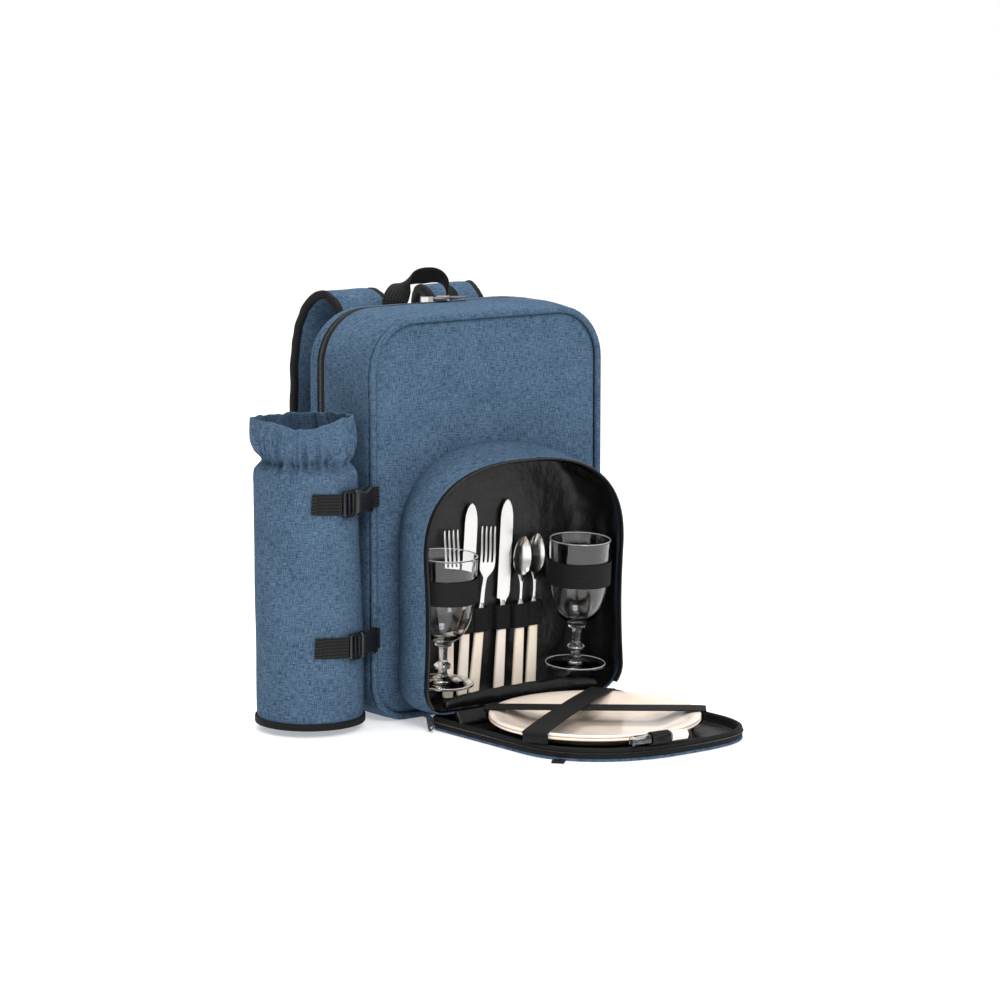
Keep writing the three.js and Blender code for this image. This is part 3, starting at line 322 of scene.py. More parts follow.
@dataclass(frozen=True)
class Moulded:
    """Moulded plastic with faint mottling and a fine surface grain."""

    name: str
    colour: Point
    roughness: float = 0.34
    grain: float = 0.00004
    coat: float = 0.0

    def make(self) -> bpy.types.Material:
        """The finished material."""
        finish = Finish(self.name)
        finish.constants(Specular_IOR_Level=0.5, Coat_Weight=self.coat, Coat_Roughness=0.12)
        cloud = finish.noise(finish.scaled(45.0, 45.0, 45.0), 3.0)
        grain = finish.noise(finish.scaled(1400.0, 1400.0, 1400.0), 1.0)
        dim = tuple(0.93 * v for v in self.colour)
        finish.shade(cloud, ((0.35, dim), (0.65, self.colour)))
        finish.varied("Roughness", cloud, self.roughness - 0.05, self.roughness + 0.07)
        return finish.relief(grain, self.grain, 0.5).material


@dataclass(frozen=True)
class Metal:
    """Polished metal with faint lengthwise brushing."""

    name: str
    colour: Point
    roughness: float
    brushing: float = 0.00002

    def make(self) -> bpy.types.Material:
        """The finished material."""
        finish = Finish(self.name).constants(Metallic=1.0)
        brushed = finish.noise(finish.scaled(2600.0, 2600.0, 90.0), 2.0)
        smear = finish.noise(finish.scaled(60.0, 60.0, 40.0), 3.0)
        finish.shade(smear, ((0.3, tuple(0.9 * v for v in self.colour)), (0.7, self.colour)))
        finish.varied("Roughness", brushed, self.roughness * 0.7, self.roughness * 1.4)
        return finish.relief(brushed, self.brushing, 0.4).material


@dataclass(frozen=True)
class ClearPlastic:
    """Clear moulded plastic with faint ripples."""

    name: str = "clear_plastic"
    clarity: float = 1.0

    def make(self) -> bpy.types.Material:
        """The finished material."""
        finish = Finish(self.name)
        finish.constants(Transmission_Weight=self.clarity, IOR=1.46, Base_Color=(0.975, 0.985, 1.0))
        ripple = finish.noise(finish.scaled(70.0, 70.0, 35.0), 1.0)
        finish.varied("Roughness", ripple, 0.01, 0.05)
        return finish.relief(ripple, 0.0002, 0.06).material


@dataclass(frozen=True)
class Backdrop:
    """The plain white floor."""

    name: str = "studio_white"
    glow: float = 0.36

    def make(self) -> bpy.types.Material:
        """The finished material."""
        finish = Finish(self.name).constants(Roughness=0.9, Specular_IOR_Level=0.1)
        finish.constants(Emission_Color=(1.0, 1.0, 1.0), Emission_Strength=self.glow)
        cloud = finish.noise(finish.scaled(0.4, 0.4, 0.4), 1.0)
        return finish.shade(cloud, ((0.2, (0.86, 0.86, 0.86)), (0.8, (0.87, 0.87, 0.87)))).material


MATERIALS: dict[str, bpy.types.Material] = {
    finish.name: finish.make()
    for finish in (
        MelangeCloth(),
        RibbedWebbing("webbing", across=0.0021, along=0.0031),
        RibbedWebbing("elastic", along=0.0017, depth=0.0004, tone=0.01),
        RibbedWebbing("zip_tape", along=0.0013, depth=0.0002, tone=0.008, roughness=0.62),
        RibbedWebbing("binding", across=0.0016, depth=0.0003, tone=0.008),
        SatinLining(),
        SpacerMesh(),
        Moulded("cream_plate", (0.9, 0.765, 0.65), 0.18, coat=0.4),
        Moulded("tan_handle", (0.93, 0.81, 0.66), 0.34),
        Moulded("rose_handle", (0.94, 0.82, 0.73), 0.34),
        Moulded("black_buckle", (0.008, 0.0083, 0.009), 0.24),
        Moulded("zip_coil", (0.036, 0.036, 0.034), 0.36),
        Moulded("thread", (0.012, 0.012, 0.013), 0.8),
        Metal("cutlery_steel", (0.62, 0.61, 0.59), 0.18),
        Metal("bright_nickel", (0.62, 0.61, 0.59), 0.3),
        # painted shade: a darker copy of the nickel for the main zip's sliders, toning down their reflections
        # of the bright floor and top light
        Metal("nickel_shaded_dark", (0.24, 0.235, 0.225), 0.36),
        ClearPlastic(),
        # painted highlight: half-clear, partly white plastic for the bright lines at the goblets' rim and
        # foot
        ClearPlastic("rim_highlight_white", 0.45),
        Metal("brass_ring", (0.62, 0.45, 0.2), 0.24),
        Backdrop(),
    )
}


def lerp(a: float, b: float, t: float) -> float:
    """The value a share of the way from a to b."""
    return a + (b - a) * t


def crumple(point: Sequence[float], size: float, seed: float) -> float:
    """Smooth noise at a point, from about -1 to 1, whose lumps are about a size across."""
    return noise.noise(Vector(point) / size + Vector((seed, 1.7 * seed, -seed)))


def arc(centre: Flat, radius: float, start: float, end: float, steps: int) -> list[Flat]:
    """Points of an arc in degrees, both ends included."""
    angles = [math.radians(lerp(start, end, i / steps)) for i in range(steps + 1)]
    return [(centre[0] + radius * math.cos(a), centre[1] + radius * math.sin(a)) for a in angles]


def spline(points: Sequence[Sequence[float]], steps: int, closed: bool = False) -> list[Vector]:
    """A smooth curve through points.

    Args:
        points: The points it goes through.
        steps: The number of steps between two of them.
        closed: Whether it joins its own start.

    Returns:
        The curve's points.
    """
    given = [Vector(p) for p in points]
    n = len(given)
    curve: list[Vector] = []
    for i in range(n if closed else n - 1):
        p0 = given[(i - 1) % n] if closed else given[max(i - 1, 0)]
        p1, p2 = given[i], given[(i + 1) % n]
        p3 = given[(i + 2) % n] if closed else given[min(i + 2, n - 1)]
        for k in range(steps):
            t = k / steps
            curve.append(
                0.5 * (2 * p1 + (p2 - p0) * t + (2 * p0 - 5 * p1 + 4 * p2 - p3) * t**2
                       + (3 * p1 - p0 - 3 * p2 + p3) * t**3)
            )
    return curve if closed else [*curve, given[-1]]


def evenly(path: Sequence[Sequence[float]], step: float, closed: bool = False) -> list[tuple[Vector, Vector]]:
    """Places at equal distances along a path, each with the path's direction.

    Args:
        path: The path's points.
        step: The distance from place to place.
        closed: Whether the path joins its own start.

    Returns:
        Each place and direction.
    """
    points = [Vector(p) for p in path]
    if closed:
        points.append(points[0])
    places: list[tuple[Vector, Vector]] = []
    left = step / 2
    for a, b in zip(points, points[1:]):
        length = (b - a).length
        while left <= length and length > 0:
            places.append((a.lerp(b, left / length), (b - a).normalized()))
            left += step
        left -= length
    return places


def cloth_map(bm: BMesh, places: dict[BMVert, tuple[int, int]], rings: Sequence[Ring], closed: bool) -> None:
    """Writes the weave map from the lengths round the rings and from ring to ring.

    Args:
        bm: The mesh.
        places: The ring and the place in it of each vertex.
        rings: The rings the mesh went through.
        closed: Whether each ring joins its own start.
    """
    layer = bm.loops.layers.uv.new(Coordinates.WEAVE.value)
    middle = [Vector(p) for p in rings[len(rings) // 2]]
    count = len(middle)
    if closed:
        middle.append(middle[0])
    across = [0.0]
    for a, b in zip(middle, middle[1:]):
        across.append(across[-1] + (b - a).length * METRES)
    along = [0.0]
    for a, b in zip(rings, rings[1:]):
        steps = [(Vector(a[i]) - Vector(b[i])).length for i in range(0, count, max(count // 8, 1))]
        along.append(along[-1] + sum(steps) / len(steps) * METRES)
    for face in bm.faces:
        spots = [places.get(loop.vert) for loop in face.loops]
        known = [s for s in spots if s]
        wraps = closed and known and max(i for _, i in known) - min(i for _, i in known) > 1
        for loop, spot in zip(face.loops, spots):
            r, i = spot or known[0]
            loop[layer].uv = (across[count if wraps and i == 0 else i], along[r])


def loft(
    rings: Sequence[Ring], closed: bool = True, start: Point | None = None, end: Point | None = None,
    flat: bool = False
) -> BMesh:
    """A surface drawn out edge by edge from its first ring through the others.

    Args:
        rings: Rings of equal count.
        closed: Whether each ring joins its own start.
        start: A point that closes the first ring.
        end: A point that closes the last ring.
        flat: Whether both ends are closed by a flat face.

    Returns:
        The mesh, with its weave map.
    """
    bm = bmesh.new()
    row = [bm.verts.new(p) for p in rings[0]]
    count = len(row)
    spans = [(i, (i + 1) % count) for i in range(count if closed else count - 1)]
    edges = [bm.edges.new((row[a], row[b])) for a, b in spans]
    first = edges
    places = {vert: (0, i) for i, vert in enumerate(row)}
    for r, ring in enumerate(rings[1:], 1):
        made = {v for v in bmesh.ops.extrude_edge_only(bm, edges=edges)["geom"] if isinstance(v, BMVert)}
        row = [next(e.other_vert(v) for e in v.link_edges if e.other_vert(v) in made) for v in row]
        for i, vert in enumerate(row):
            vert.co = ring[i]
            places[vert] = (r, i)
        edges = [bm.edges.get((row[a], row[b])) for a, b in spans]
    for rim, tip in ((first, start), (edges, end)):
        if tip is not None:
            made = [v for v in bmesh.ops.extrude_edge_only(bm, edges=rim)["geom"] if isinstance(v, BMVert)]
            bmesh.ops.pointmerge(bm, verts=made, merge_co=Vector(tip))
        elif flat:
            bmesh.ops.edgeloop_fill(bm, edges=rim)
    cloth_map(bm, places, rings, closed)
    return bm


def map_flat(bm: BMesh, axes: tuple[int, int]) -> BMesh:
    """Writes the weave map straight from two of the coordinates.

    Args:
        bm: The mesh, in millimetres.
        axes: The two axes.

    Returns:
        The same mesh.
    """
    layer = bm.loops.layers.uv.get(Coordinates.WEAVE.value) or bm.loops.layers.uv.new(Coordinates.WEAVE.value)
    for face in bm.faces:
        for loop in face.loops:
            loop[layer].uv = (loop.vert.co[axes[0]] * METRES, loop.vert.co[axes[1]] * METRES)
    return bm


@dataclass
class Station:
    """A place on a path with the direction of the width there and the direction out of the surface."""

    point: Vector
    side: Vector
    outward: Vector


def stations(path: Sequence[Sequence[float]], width: Sequence[float], closed: bool = False) -> list[Station]:
    """Stations along a path.

    Args:
        path: The path's points.
        width: The direction of the width, or one for each point.
        closed: Whether the path joins its own start.

    Returns:
        One station for each point.
    """
    points = [Vector(p) for p in path]
    n = len(points)
    made = []
    for i, point in enumerate(points):
        before = points[(i - 1) % n] if closed else points[max(i - 1, 0)]
        after = points[(i + 1) % n] if closed else points[min(i + 1, n - 1)]
        way = (after - before).normalized()
        own = Vector(width[i] if isinstance(width[0], (Vector, tuple, list)) else width)
        outward = way.cross(own).normalized()
        made.append(Station(point, outward.cross(way).normalized(), outward))
    return made


def swept(places: Sequence[Station], section: Sequence[Flat], closed: bool = False) -> BMesh:
    """A section of side and outward offsets carried along stations, its ends closed where it is open.

    Args:
        places: The stations.
        section: The section's offsets.
        closed: Whether the stations join their own start.

    Returns:
        The mesh.
    """
    rings = [[tuple(s.point + s.side * a + s.outward * b) for a, b in section] for s in places]
    if closed:
        rings.append(rings[0])
    return loft(rings, flat=not closed)


def tape_section(width: float, thickness: float, lift: float = 0.0, columns: int = 6) -> list[Flat]:
    """The section of a tape with rounded edges, lying on its path.

    Args:
        width: The tape's width.
        thickness: The tape's thickness.
        lift: The height of its lower face.
        columns: The number of columns across it.

    Returns:
        The section's offsets.
    """
    half, round_ = width / 2, min(thickness / 2, width / 4)
    low = [(lerp(-half + round_, half - round_, i / columns), lift) for i in range(columns + 1)]
    high = [(a, lift + thickness) for a, _ in reversed(low)]
    right = [(half - 0.3 * round_, lift + 0.15 * thickness), (half, lift + thickness / 2),
             (half - 0.3 * round_, lift + 0.85 * thickness)]
    left = [(-a, lift + thickness - (b - lift)) for a, b in right]
    return [*low, *right, *high, *left]


def circle(radius: float, sides: int, squash: float = 1.0) -> list[Flat]:
    """A round or flattened section."""
    return [(radius * math.cos(2 * math.pi * i / sides), squash * radius * math.sin(2 * math.pi * i / sides))
            for i in range(sides)]


def turned(rows: Sequence[Flat], segments: int = 72) -> BMesh:
    """A shape spun about Z from radius and height rows that start and end on the axis.

    Args:
        rows: Radius and height of each point of the profile.
        segments: The number of steps round the axis.

    Returns:
        The mesh, with its doubles merged.
    """
    bm = bmesh.new()
    verts = [bm.verts.new((r, 0.0, z)) for r, z in rows]
    edges = [bm.edges.new(pair) for pair in zip(verts, verts[1:])]
    bmesh.ops.spin(bm, geom=[*verts, *edges], axis=(0, 0, 1), cent=(0, 0, 0), angle=2 * math.pi,
                   steps=segments, use_merge=True)
    bmesh.ops.remove_doubles(bm, verts=bm.verts, dist=0.001)
    return bm


def from_node(name: str) -> BMesh:
    """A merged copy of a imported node's mesh, in millimetres, with its flat faces whole again."""
    bm = bmesh.new()
    bm.from_mesh(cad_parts[name].data)
    bmesh.ops.scale(bm, vec=Vector((1 / METRES,) * 3), verts=bm.verts)
    bmesh.ops.remove_doubles(bm, verts=bm.verts, dist=0.002)
    bmesh.ops.dissolve_limit(bm, angle_limit=math.radians(2), verts=bm.verts, edges=bm.edges)
    return bm


def merged(parts: Iterable[BMesh]) -> BMesh:
    """One mesh that holds several, each of which is freed."""
    whole = bmesh.new()
    for part in parts:
        scratch = bpy.data.meshes.new("part")
        part.to_mesh(scratch)
        part.free()
        whole.from_mesh(scratch)
        bpy.data.meshes.remove(scratch)
    return whole


@dataclass
class Make:
    """How a mesh becomes a finished piece."""

    material: str
    slot: str
    replaces: Sequence[str] = ()
    wall: float = 0.0
    bevel: float = 0.0
    smoothing: int = 0
    sharp: float = 40.0

    def piece(self, name: str, bm: BMesh) -> bpy.types.Object:
        """Turns a mesh in millimetres into a piece that rides on the pack.

        Args:
            name: The piece's name.
            bm: Its mesh, which is freed.

        Returns:
            The piece.
        """
        bmesh.ops.remove_doubles(bm, verts=bm.verts, dist=0.0005)
        bmesh.ops.recalc_face_normals(bm, faces=bm.faces)
        bmesh.ops.scale(bm, vec=Vector((METRES,) * 3), verts=bm.verts)
        mesh = bpy.data.meshes.new(name)
        bm.to_mesh(mesh)
        bm.free()
        mesh.shade_smooth()
        mesh.set_sharp_from_angle(angle=math.radians(self.sharp if not self.smoothing else 180.0))
        piece = bpy.data.objects.new(name, mesh)
        bpy.context.scene.collection.objects.link(piece)
        mesh.materials.append(MATERIALS[self.material])
        if self.wall:
            wall = piece.modifiers.new("wall", "SOLIDIFY")
            wall.thickness = self.wall * METRES
            wall.offset = -1.0
        if self.bevel:
            edge = piece.modifiers.new("edge", "BEVEL")
            edge.width = self.bevel * METRES
            edge.segments = 3
            edge.limit_method = "ANGLE"
            edge.angle_limit = math.radians(30)
            edge.harden_normals = False
        if self.smoothing:
            fine = piece.modifiers.new("fine", "SUBSURF")
            fine.levels = fine.render_levels = self.smoothing
        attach(piece, "root")
        if self.replaces:
            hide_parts(*self.replaces)
        LOG.info("%s: %d faces", name, len(mesh.polygons))
        return piece


def sewn(name: str, node: str, bm: BMesh, wall: float = 0.0, smoothing: int = 1) -> bpy.types.Object:
    """Makes a piece of the blue cloth that stands for a node."""
    return Make("melange_cloth", "blue_cloth", [node], wall, smoothing=smoothing).piece(name, bm)


def coil(path: Sequence[Sequence[float]], outward: Callable[[Vector], Vector], pitch: float,
         size: Point) -> BMesh:
    """A zip's coil as a row of small ridges across its line.

    Args:
        path: The zip's line.
        outward: The direction out of the tape at a place.
        pitch: From ridge to ridge.
        size: A ridge's length along the line, width across it and height.

    Returns:
        The mesh.
    """
    bm = bmesh.new()
    for point, way in evenly(path, pitch):
        out = outward(point).normalized()
        side = out.cross(way).normalized()
        basis = Matrix((way, side, out)).transposed().to_4x4()
        scale = Matrix.Diagonal((*size, 1.0))
        bmesh.ops.create_icosphere(bm, subdivisions=1, radius=0.5,
                                   matrix=Matrix.Translation(point) @ basis @ scale)
    return bm


def stitches(path: Sequence[Sequence[float]], outward: Callable[[Vector], Vector],
             pitch: float = 3.2) -> BMesh:
    """A line of sewn thread along a path on a surface.

    Args:
        path: The line.
        outward: The direction out of the surface at a place.
        pitch: From stitch to stitch.

    Returns:
        The mesh.
    """
    return coil(path, outward, pitch, (0.75 * pitch, 0.55, 0.5))


UP = (0.0, 0.0, 1.0)


@dataclass
class MainBody:
    """The insulated body: a front and a back panel joined by a gusset with the main zip round it."""

    half: float = 139.0
    height: float = 394.0
    depth: float = 120.0
    top_radius: float = 54.0
    bottom_radius: float = 38.0
    side_bulge: float = 2.0
    top_bulge: float = 2.5
    gusset_depth: float = 78.0
    zip_width: float = 11.0
    zip_recess: float = 0.6
    zip_end: float = 120.0
    rear_rounding: float = 36.0
    piping_radius: float = 3.4
    front_bulge: float = 6.0
    back_bulge: float = 4.0
    wrinkle: float = 1.6
    quilting: float = 2.4
    cloth: float = 2.6

    @property
    def front(self) -> float:
        """The front seam's depth."""
        return -self.depth / 2

    @property
    def rear(self) -> float:
        """The back panel's depth."""
        return self.depth / 2

    @property
    def zip_front(self) -> float:
        """Where the front gusset ends at the zip."""
        return self.front + self.gusset_depth

    @property
    def zip_rear(self) -> float:
        """Where the rear gusset starts behind the zip."""
        return self.zip_front + self.zip_width

    @property
    def panel_inset(self) -> float:
        """How far the front panel is drawn in by its piping."""
        return 2 * self.piping_radius + 2 * SEAM_GAP

    def swell(self, y: float) -> float:
        """The gusset's swell at a depth, from nothing at the seams to 1 halfway."""
        return math.sin(math.pi * (y / self.depth + 0.5))

    def arch(self, y: float, inset: float, low: float | None = None) -> list[Point]:
        """The outline from one lower side up and over the top to the other.

        Args:
            y: The depth.
            inset: How far it is drawn in.
            low: The height it starts at.

        Returns:
            Its points, from +X.
        """
        half = self.half + self.side_bulge * self.swell(y) - inset
        top = self.height + self.top_bulge * self.swell(y) - inset
        radius = self.top_radius - inset
        start = self.bottom_radius if low is None else low
        side = [(half, lerp(start, top - radius, i / 34)) for i in range(34)]
        right = arc((half - radius, top - radius), radius, 0, 90, 12)
        over = [(lerp(half - radius, 0.0, i / 10), top) for i in range(1, 10)]
        quarter = [*side, *right, *over]
        points = [*quarter, (0.0, top), *((-x, z) for x, z in reversed(quarter))]
        return [(x, y, z) for x, z in points]

    def base(self, y: float, inset: float, high: float | None = None) -> list[Point]:
        """The outline under the arch, from +X down and round the base to -X."""
        half = self.half + self.side_bulge * self.swell(y) - inset
        radius = self.bottom_radius - inset
        right = arc((half - radius, inset + radius), radius, 0, -90, 10)
        floor = [(lerp(half - radius, 0.0, i / 10), inset) for i in range(1, 10)]
        lead = [(half, lerp(high, self.bottom_radius, i / 8)) for i in range(8)] if high else []
        quarter = [*lead, *right, *floor]
        points = [*quarter, (0.0, inset), *((-x, z) for x, z in reversed(quarter))]
        return [(x, y, z) for x, z in points]

    def ring(self, y: float, inset: float) -> Ring:
        """The whole outline at a depth."""
        under = self.base(y, inset)
        return [*self.arch(y, inset), *reversed(under[1:-1])]

    def creased(self, ring: Ring, amount: float, seed: float) -> Ring:
        """A ring whose points move in and out by soft creases, less near the floor.

        Args:
            ring: The ring.
            amount: The largest move.
            seed: Which creases.

        Returns:
            The creased ring.
        """
        moved = []
        for x, y, z in ring:
            out = Vector((x / self.half, 0.0, (z - self.height / 2) / (self.height / 2)))
            out = Vector((abs(out.x) ** 6 * math.copysign(1, out.x), 0.0,
                          abs(out.z) ** 6 * math.copysign(1, out.z)))
            if out.length < 0.01:
                moved.append((x, y, z))
                continue
            hold = min(max(z / 60.0, 0.0), 1.0)
            broad, fine = crumple((x, 1.6 * y, z), 52.0, seed), crumple((x, 2.0 * y, z), 21.0, seed)
            shift = amount * hold * (broad + 0.5 * fine)
            point = Vector((x, y, z)) + out.normalized() * min(shift, 0.7 * amount)
            moved.append(tuple(point))
        return moved

    def dome(self, x: float, z: float, half: float) -> float:
        """A panel's dome, from nothing at its seam to 1 in the middle."""
        middle = self.height / 2
        across = min(abs(x) / half, 1.0)
        along = min(abs(z - middle) / (middle - self.panel_inset), 1.0)
        return (1 - across**2.6) * (1 - along**2.6)

    def front_y(self, x: float, z: float) -> float:
        """The front panel's face at a place."""
        return self.front - self.front_bulge * self.dome(x, z, self.half - self.panel_inset)

    def gussets(self) -> None:
        """The gusset in front of the zip, the one behind it and the strip under the zip's ends."""
        start = self.front + self.piping_radius + SEAM_GAP
        rows = [0, 0.02, 0.06, 0.14, 0.24, 0.35, 0.46, 0.57, 0.68, 0.79, 0.89, 0.96, 0.985, 1]
        rings = []
        for t in rows:
            tuck = 1.3 * max(0.0, 1 - t / 0.05) + 0.9 * max(0.0, (t - 0.96) / 0.04)
            crease = self.wrinkle * math.sin(math.pi * t) ** 0.6
            y = lerp(start, self.zip_front, t)
            rings.append(self.creased(self.ring(y, tuck), crease, 3.0))
        sewn("body_front_gusset", "front_gusset", loft(rings), self.cloth)
        behind = self.zip_rear + SEAM_GAP
        rounding = [(1, 0.025), (0.985, 0.0), (0.9, 0), (0.75, 0), (0.62, 0.005), (0.45, 0.06),
                    (0.3, 0.17), (0.16, 0.31), (0.06, 0.5), (0.015, 0.74), (0, 1)]
        rings = [
            self.creased(self.ring(self.rear - back * (self.rear - behind), inset * self.rear_rounding),
                         0.9 * math.sin(math.pi * back), 11.0)
            for back, inset in rounding
        ]
        sewn("body_rear_gusset", "rear_gusset", loft(rings), self.cloth)
        depths = [self.zip_front + SEAM_GAP, self.zip_front + 3, self.zip_rear - 3, self.zip_rear]
        rings = [self.base(y, 0.0, self.zip_end - SEAM_GAP) for y in depths]
        sewn("body_base_gusset", "base_gusset", loft(rings, closed=False), self.cloth, smoothing=0)

    def panels(self) -> None:
        """The domed front panel with its piping, and the padded back panel."""
        outline = self.ring(self.front, self.panel_inset)
        middle = self.height / 2
        rings = []
        for share in (1.006, 0.998, 0.985, 0.96, 0.92, 0.87, 0.8, 0.72, 0.63, 0.53, 0.43, 0.33, 0.23, 0.13,
                      0.05):
            ring = []
            for x, _, z in outline:
                px, pz = x * share, lerp(middle, z, share)
                tuck = 2.6 * max(0.0, (share - 0.985) / 0.02)
                soft = 1.1 * crumple((px, 0, pz), 95.0, 5.0) + 0.45 * crumple((px, 0, pz), 34.0, 9.0)
                ring.append((px, self.front_y(px, pz) + tuck + soft * (1 - min(share, 1.0) ** 8), pz))
            rings.append(ring)
        panel = map_flat(loft(rings, end=(0, self.front_y(0, middle), middle)), (0, 2))
        sewn("body_front_panel", "front_panel", panel)
        path = self.ring(self.front, self.piping_radius + SEAM_GAP)
        piping = swept(stations(path, (0, 1, 0), True), circle(self.piping_radius, 14), closed=True)
        sewn("body_front_piping", "front_piping", piping, smoothing=0)
        inset = self.rear_rounding + SEAM_GAP
        outline = self.ring(self.rear, inset)
        rings = []
        for share in (1.0, 0.985, 0.96, 0.92, 0.87, 0.8, 0.72, 0.64, 0.56, 0.48, 0.4, 0.32, 0.24, 0.16, 0.08):
            ring = []
            for x, _, z in outline:
                px, pz = x * share, lerp(middle, z, share)
                channel = min(abs(math.sin(math.pi * (pz - 20) / 58)) * 3.2, abs(px) / 9, 1.0)
                quilting = self.quilting * (1 - channel) * (share < 0.95)
                lift = self.back_bulge * self.dome(px, pz, self.half - inset) - quilting
                ring.append((px, self.rear + lift + 0.6, pz))
            rings.append(ring)
        panel = map_flat(loft(rings, end=(0, self.rear + 0.5, middle)), (0, 2))
        back = Make("spacer_mesh", "back_mesh", ["back_panel"], smoothing=1).piece("body_back_panel", panel)

    def main_zip(self) -> None:
        """The zip's tape and coil and its sliders."""
        y = (self.zip_front + self.zip_rear) / 2
        path = self.arch(y, self.zip_recess, self.zip_end)
        section = tape_section(self.zip_width - 0.8, 1.4, -1.6)
        tape = swept(stations(path, (0, -1, 0)), section)
        Make("zip_tape", "black_webbing", ["main_zip"]).piece("main_zip_tape", tape)
        middle = Vector((0.0, y, self.height / 2))

        def out(p: Vector) -> Vector:
            """The direction out of the body at a place on the zip."""
            x = p.x - math.copysign(min(abs(p.x), self.half - self.top_radius), p.x)
            z = p.z - min(p.z, self.height - self.top_radius)
            return Vector((x, 0, z)) if abs(x) + abs(z) > 1 else p - middle

        Make("zip_coil", "black_webbing").piece("main_zip_coil", coil(path, out, 2.3, (1.7, 3.8, 1.8)))
        for i in (1, 2):
            # the sliders take the darker, painted-shade copy of the nickel
            Make("nickel_shaded_dark", "zip_metal", [f"zip_slider_{i}"], bevel=0.5).piece(
                f"main_zip_slider_{i}", from_node(f"zip_slider_{i}"))

    def build(self) -> None:
        """Builds and dresses the body."""
        self.gussets()
        self.panels()
        self.main_zip()


def arch_outline(
    half: float, bottom: float, spring: float, top: float, corner: float, roundness: float,
    left_roundness: float | None = None, pinch: float = 0.0,
) -> list[Flat]:
    """An outline with upright sides, rounded lower corners and an arched top.

    Args:
        half: Half its width.
        bottom: The height of its base.
        spring: Where the arch starts.
        top: The arch's top.
        corner: The lower corners' radius.
        roundness: The arch's power on +X.
        left_roundness: The arch's power on -X.
        pinch: How far the sides draw in.

    Returns:
        Its points, from the base's middle by +X.
    """
    base = [(lerp(0, half - corner, i / 9), bottom) for i in range(9)]
    right = arc((half - corner, bottom + corner), corner, -90, 0, 8)
    side = []
    for i in range(1, 12):
        share = i / 12
        side.append((half - pinch * math.sin(math.pi * share), lerp(bottom + corner, spring, share)))
    arch = []
    for i in range(49):
        angle = math.pi * i / 48
        power = 2 / (roundness if angle < math.pi / 2 else (left_roundness or roundness))
        cosine = math.cos(angle)
        arch.append((half * math.copysign(abs(cosine) ** power, cosine),
                     spring + (top - spring) * max(math.sin(angle), 0.0) ** power))
    lead = [*base, *right, *side]
    return [*lead, *arch, *((-x, z) for x, z in reversed(lead[1:]))]


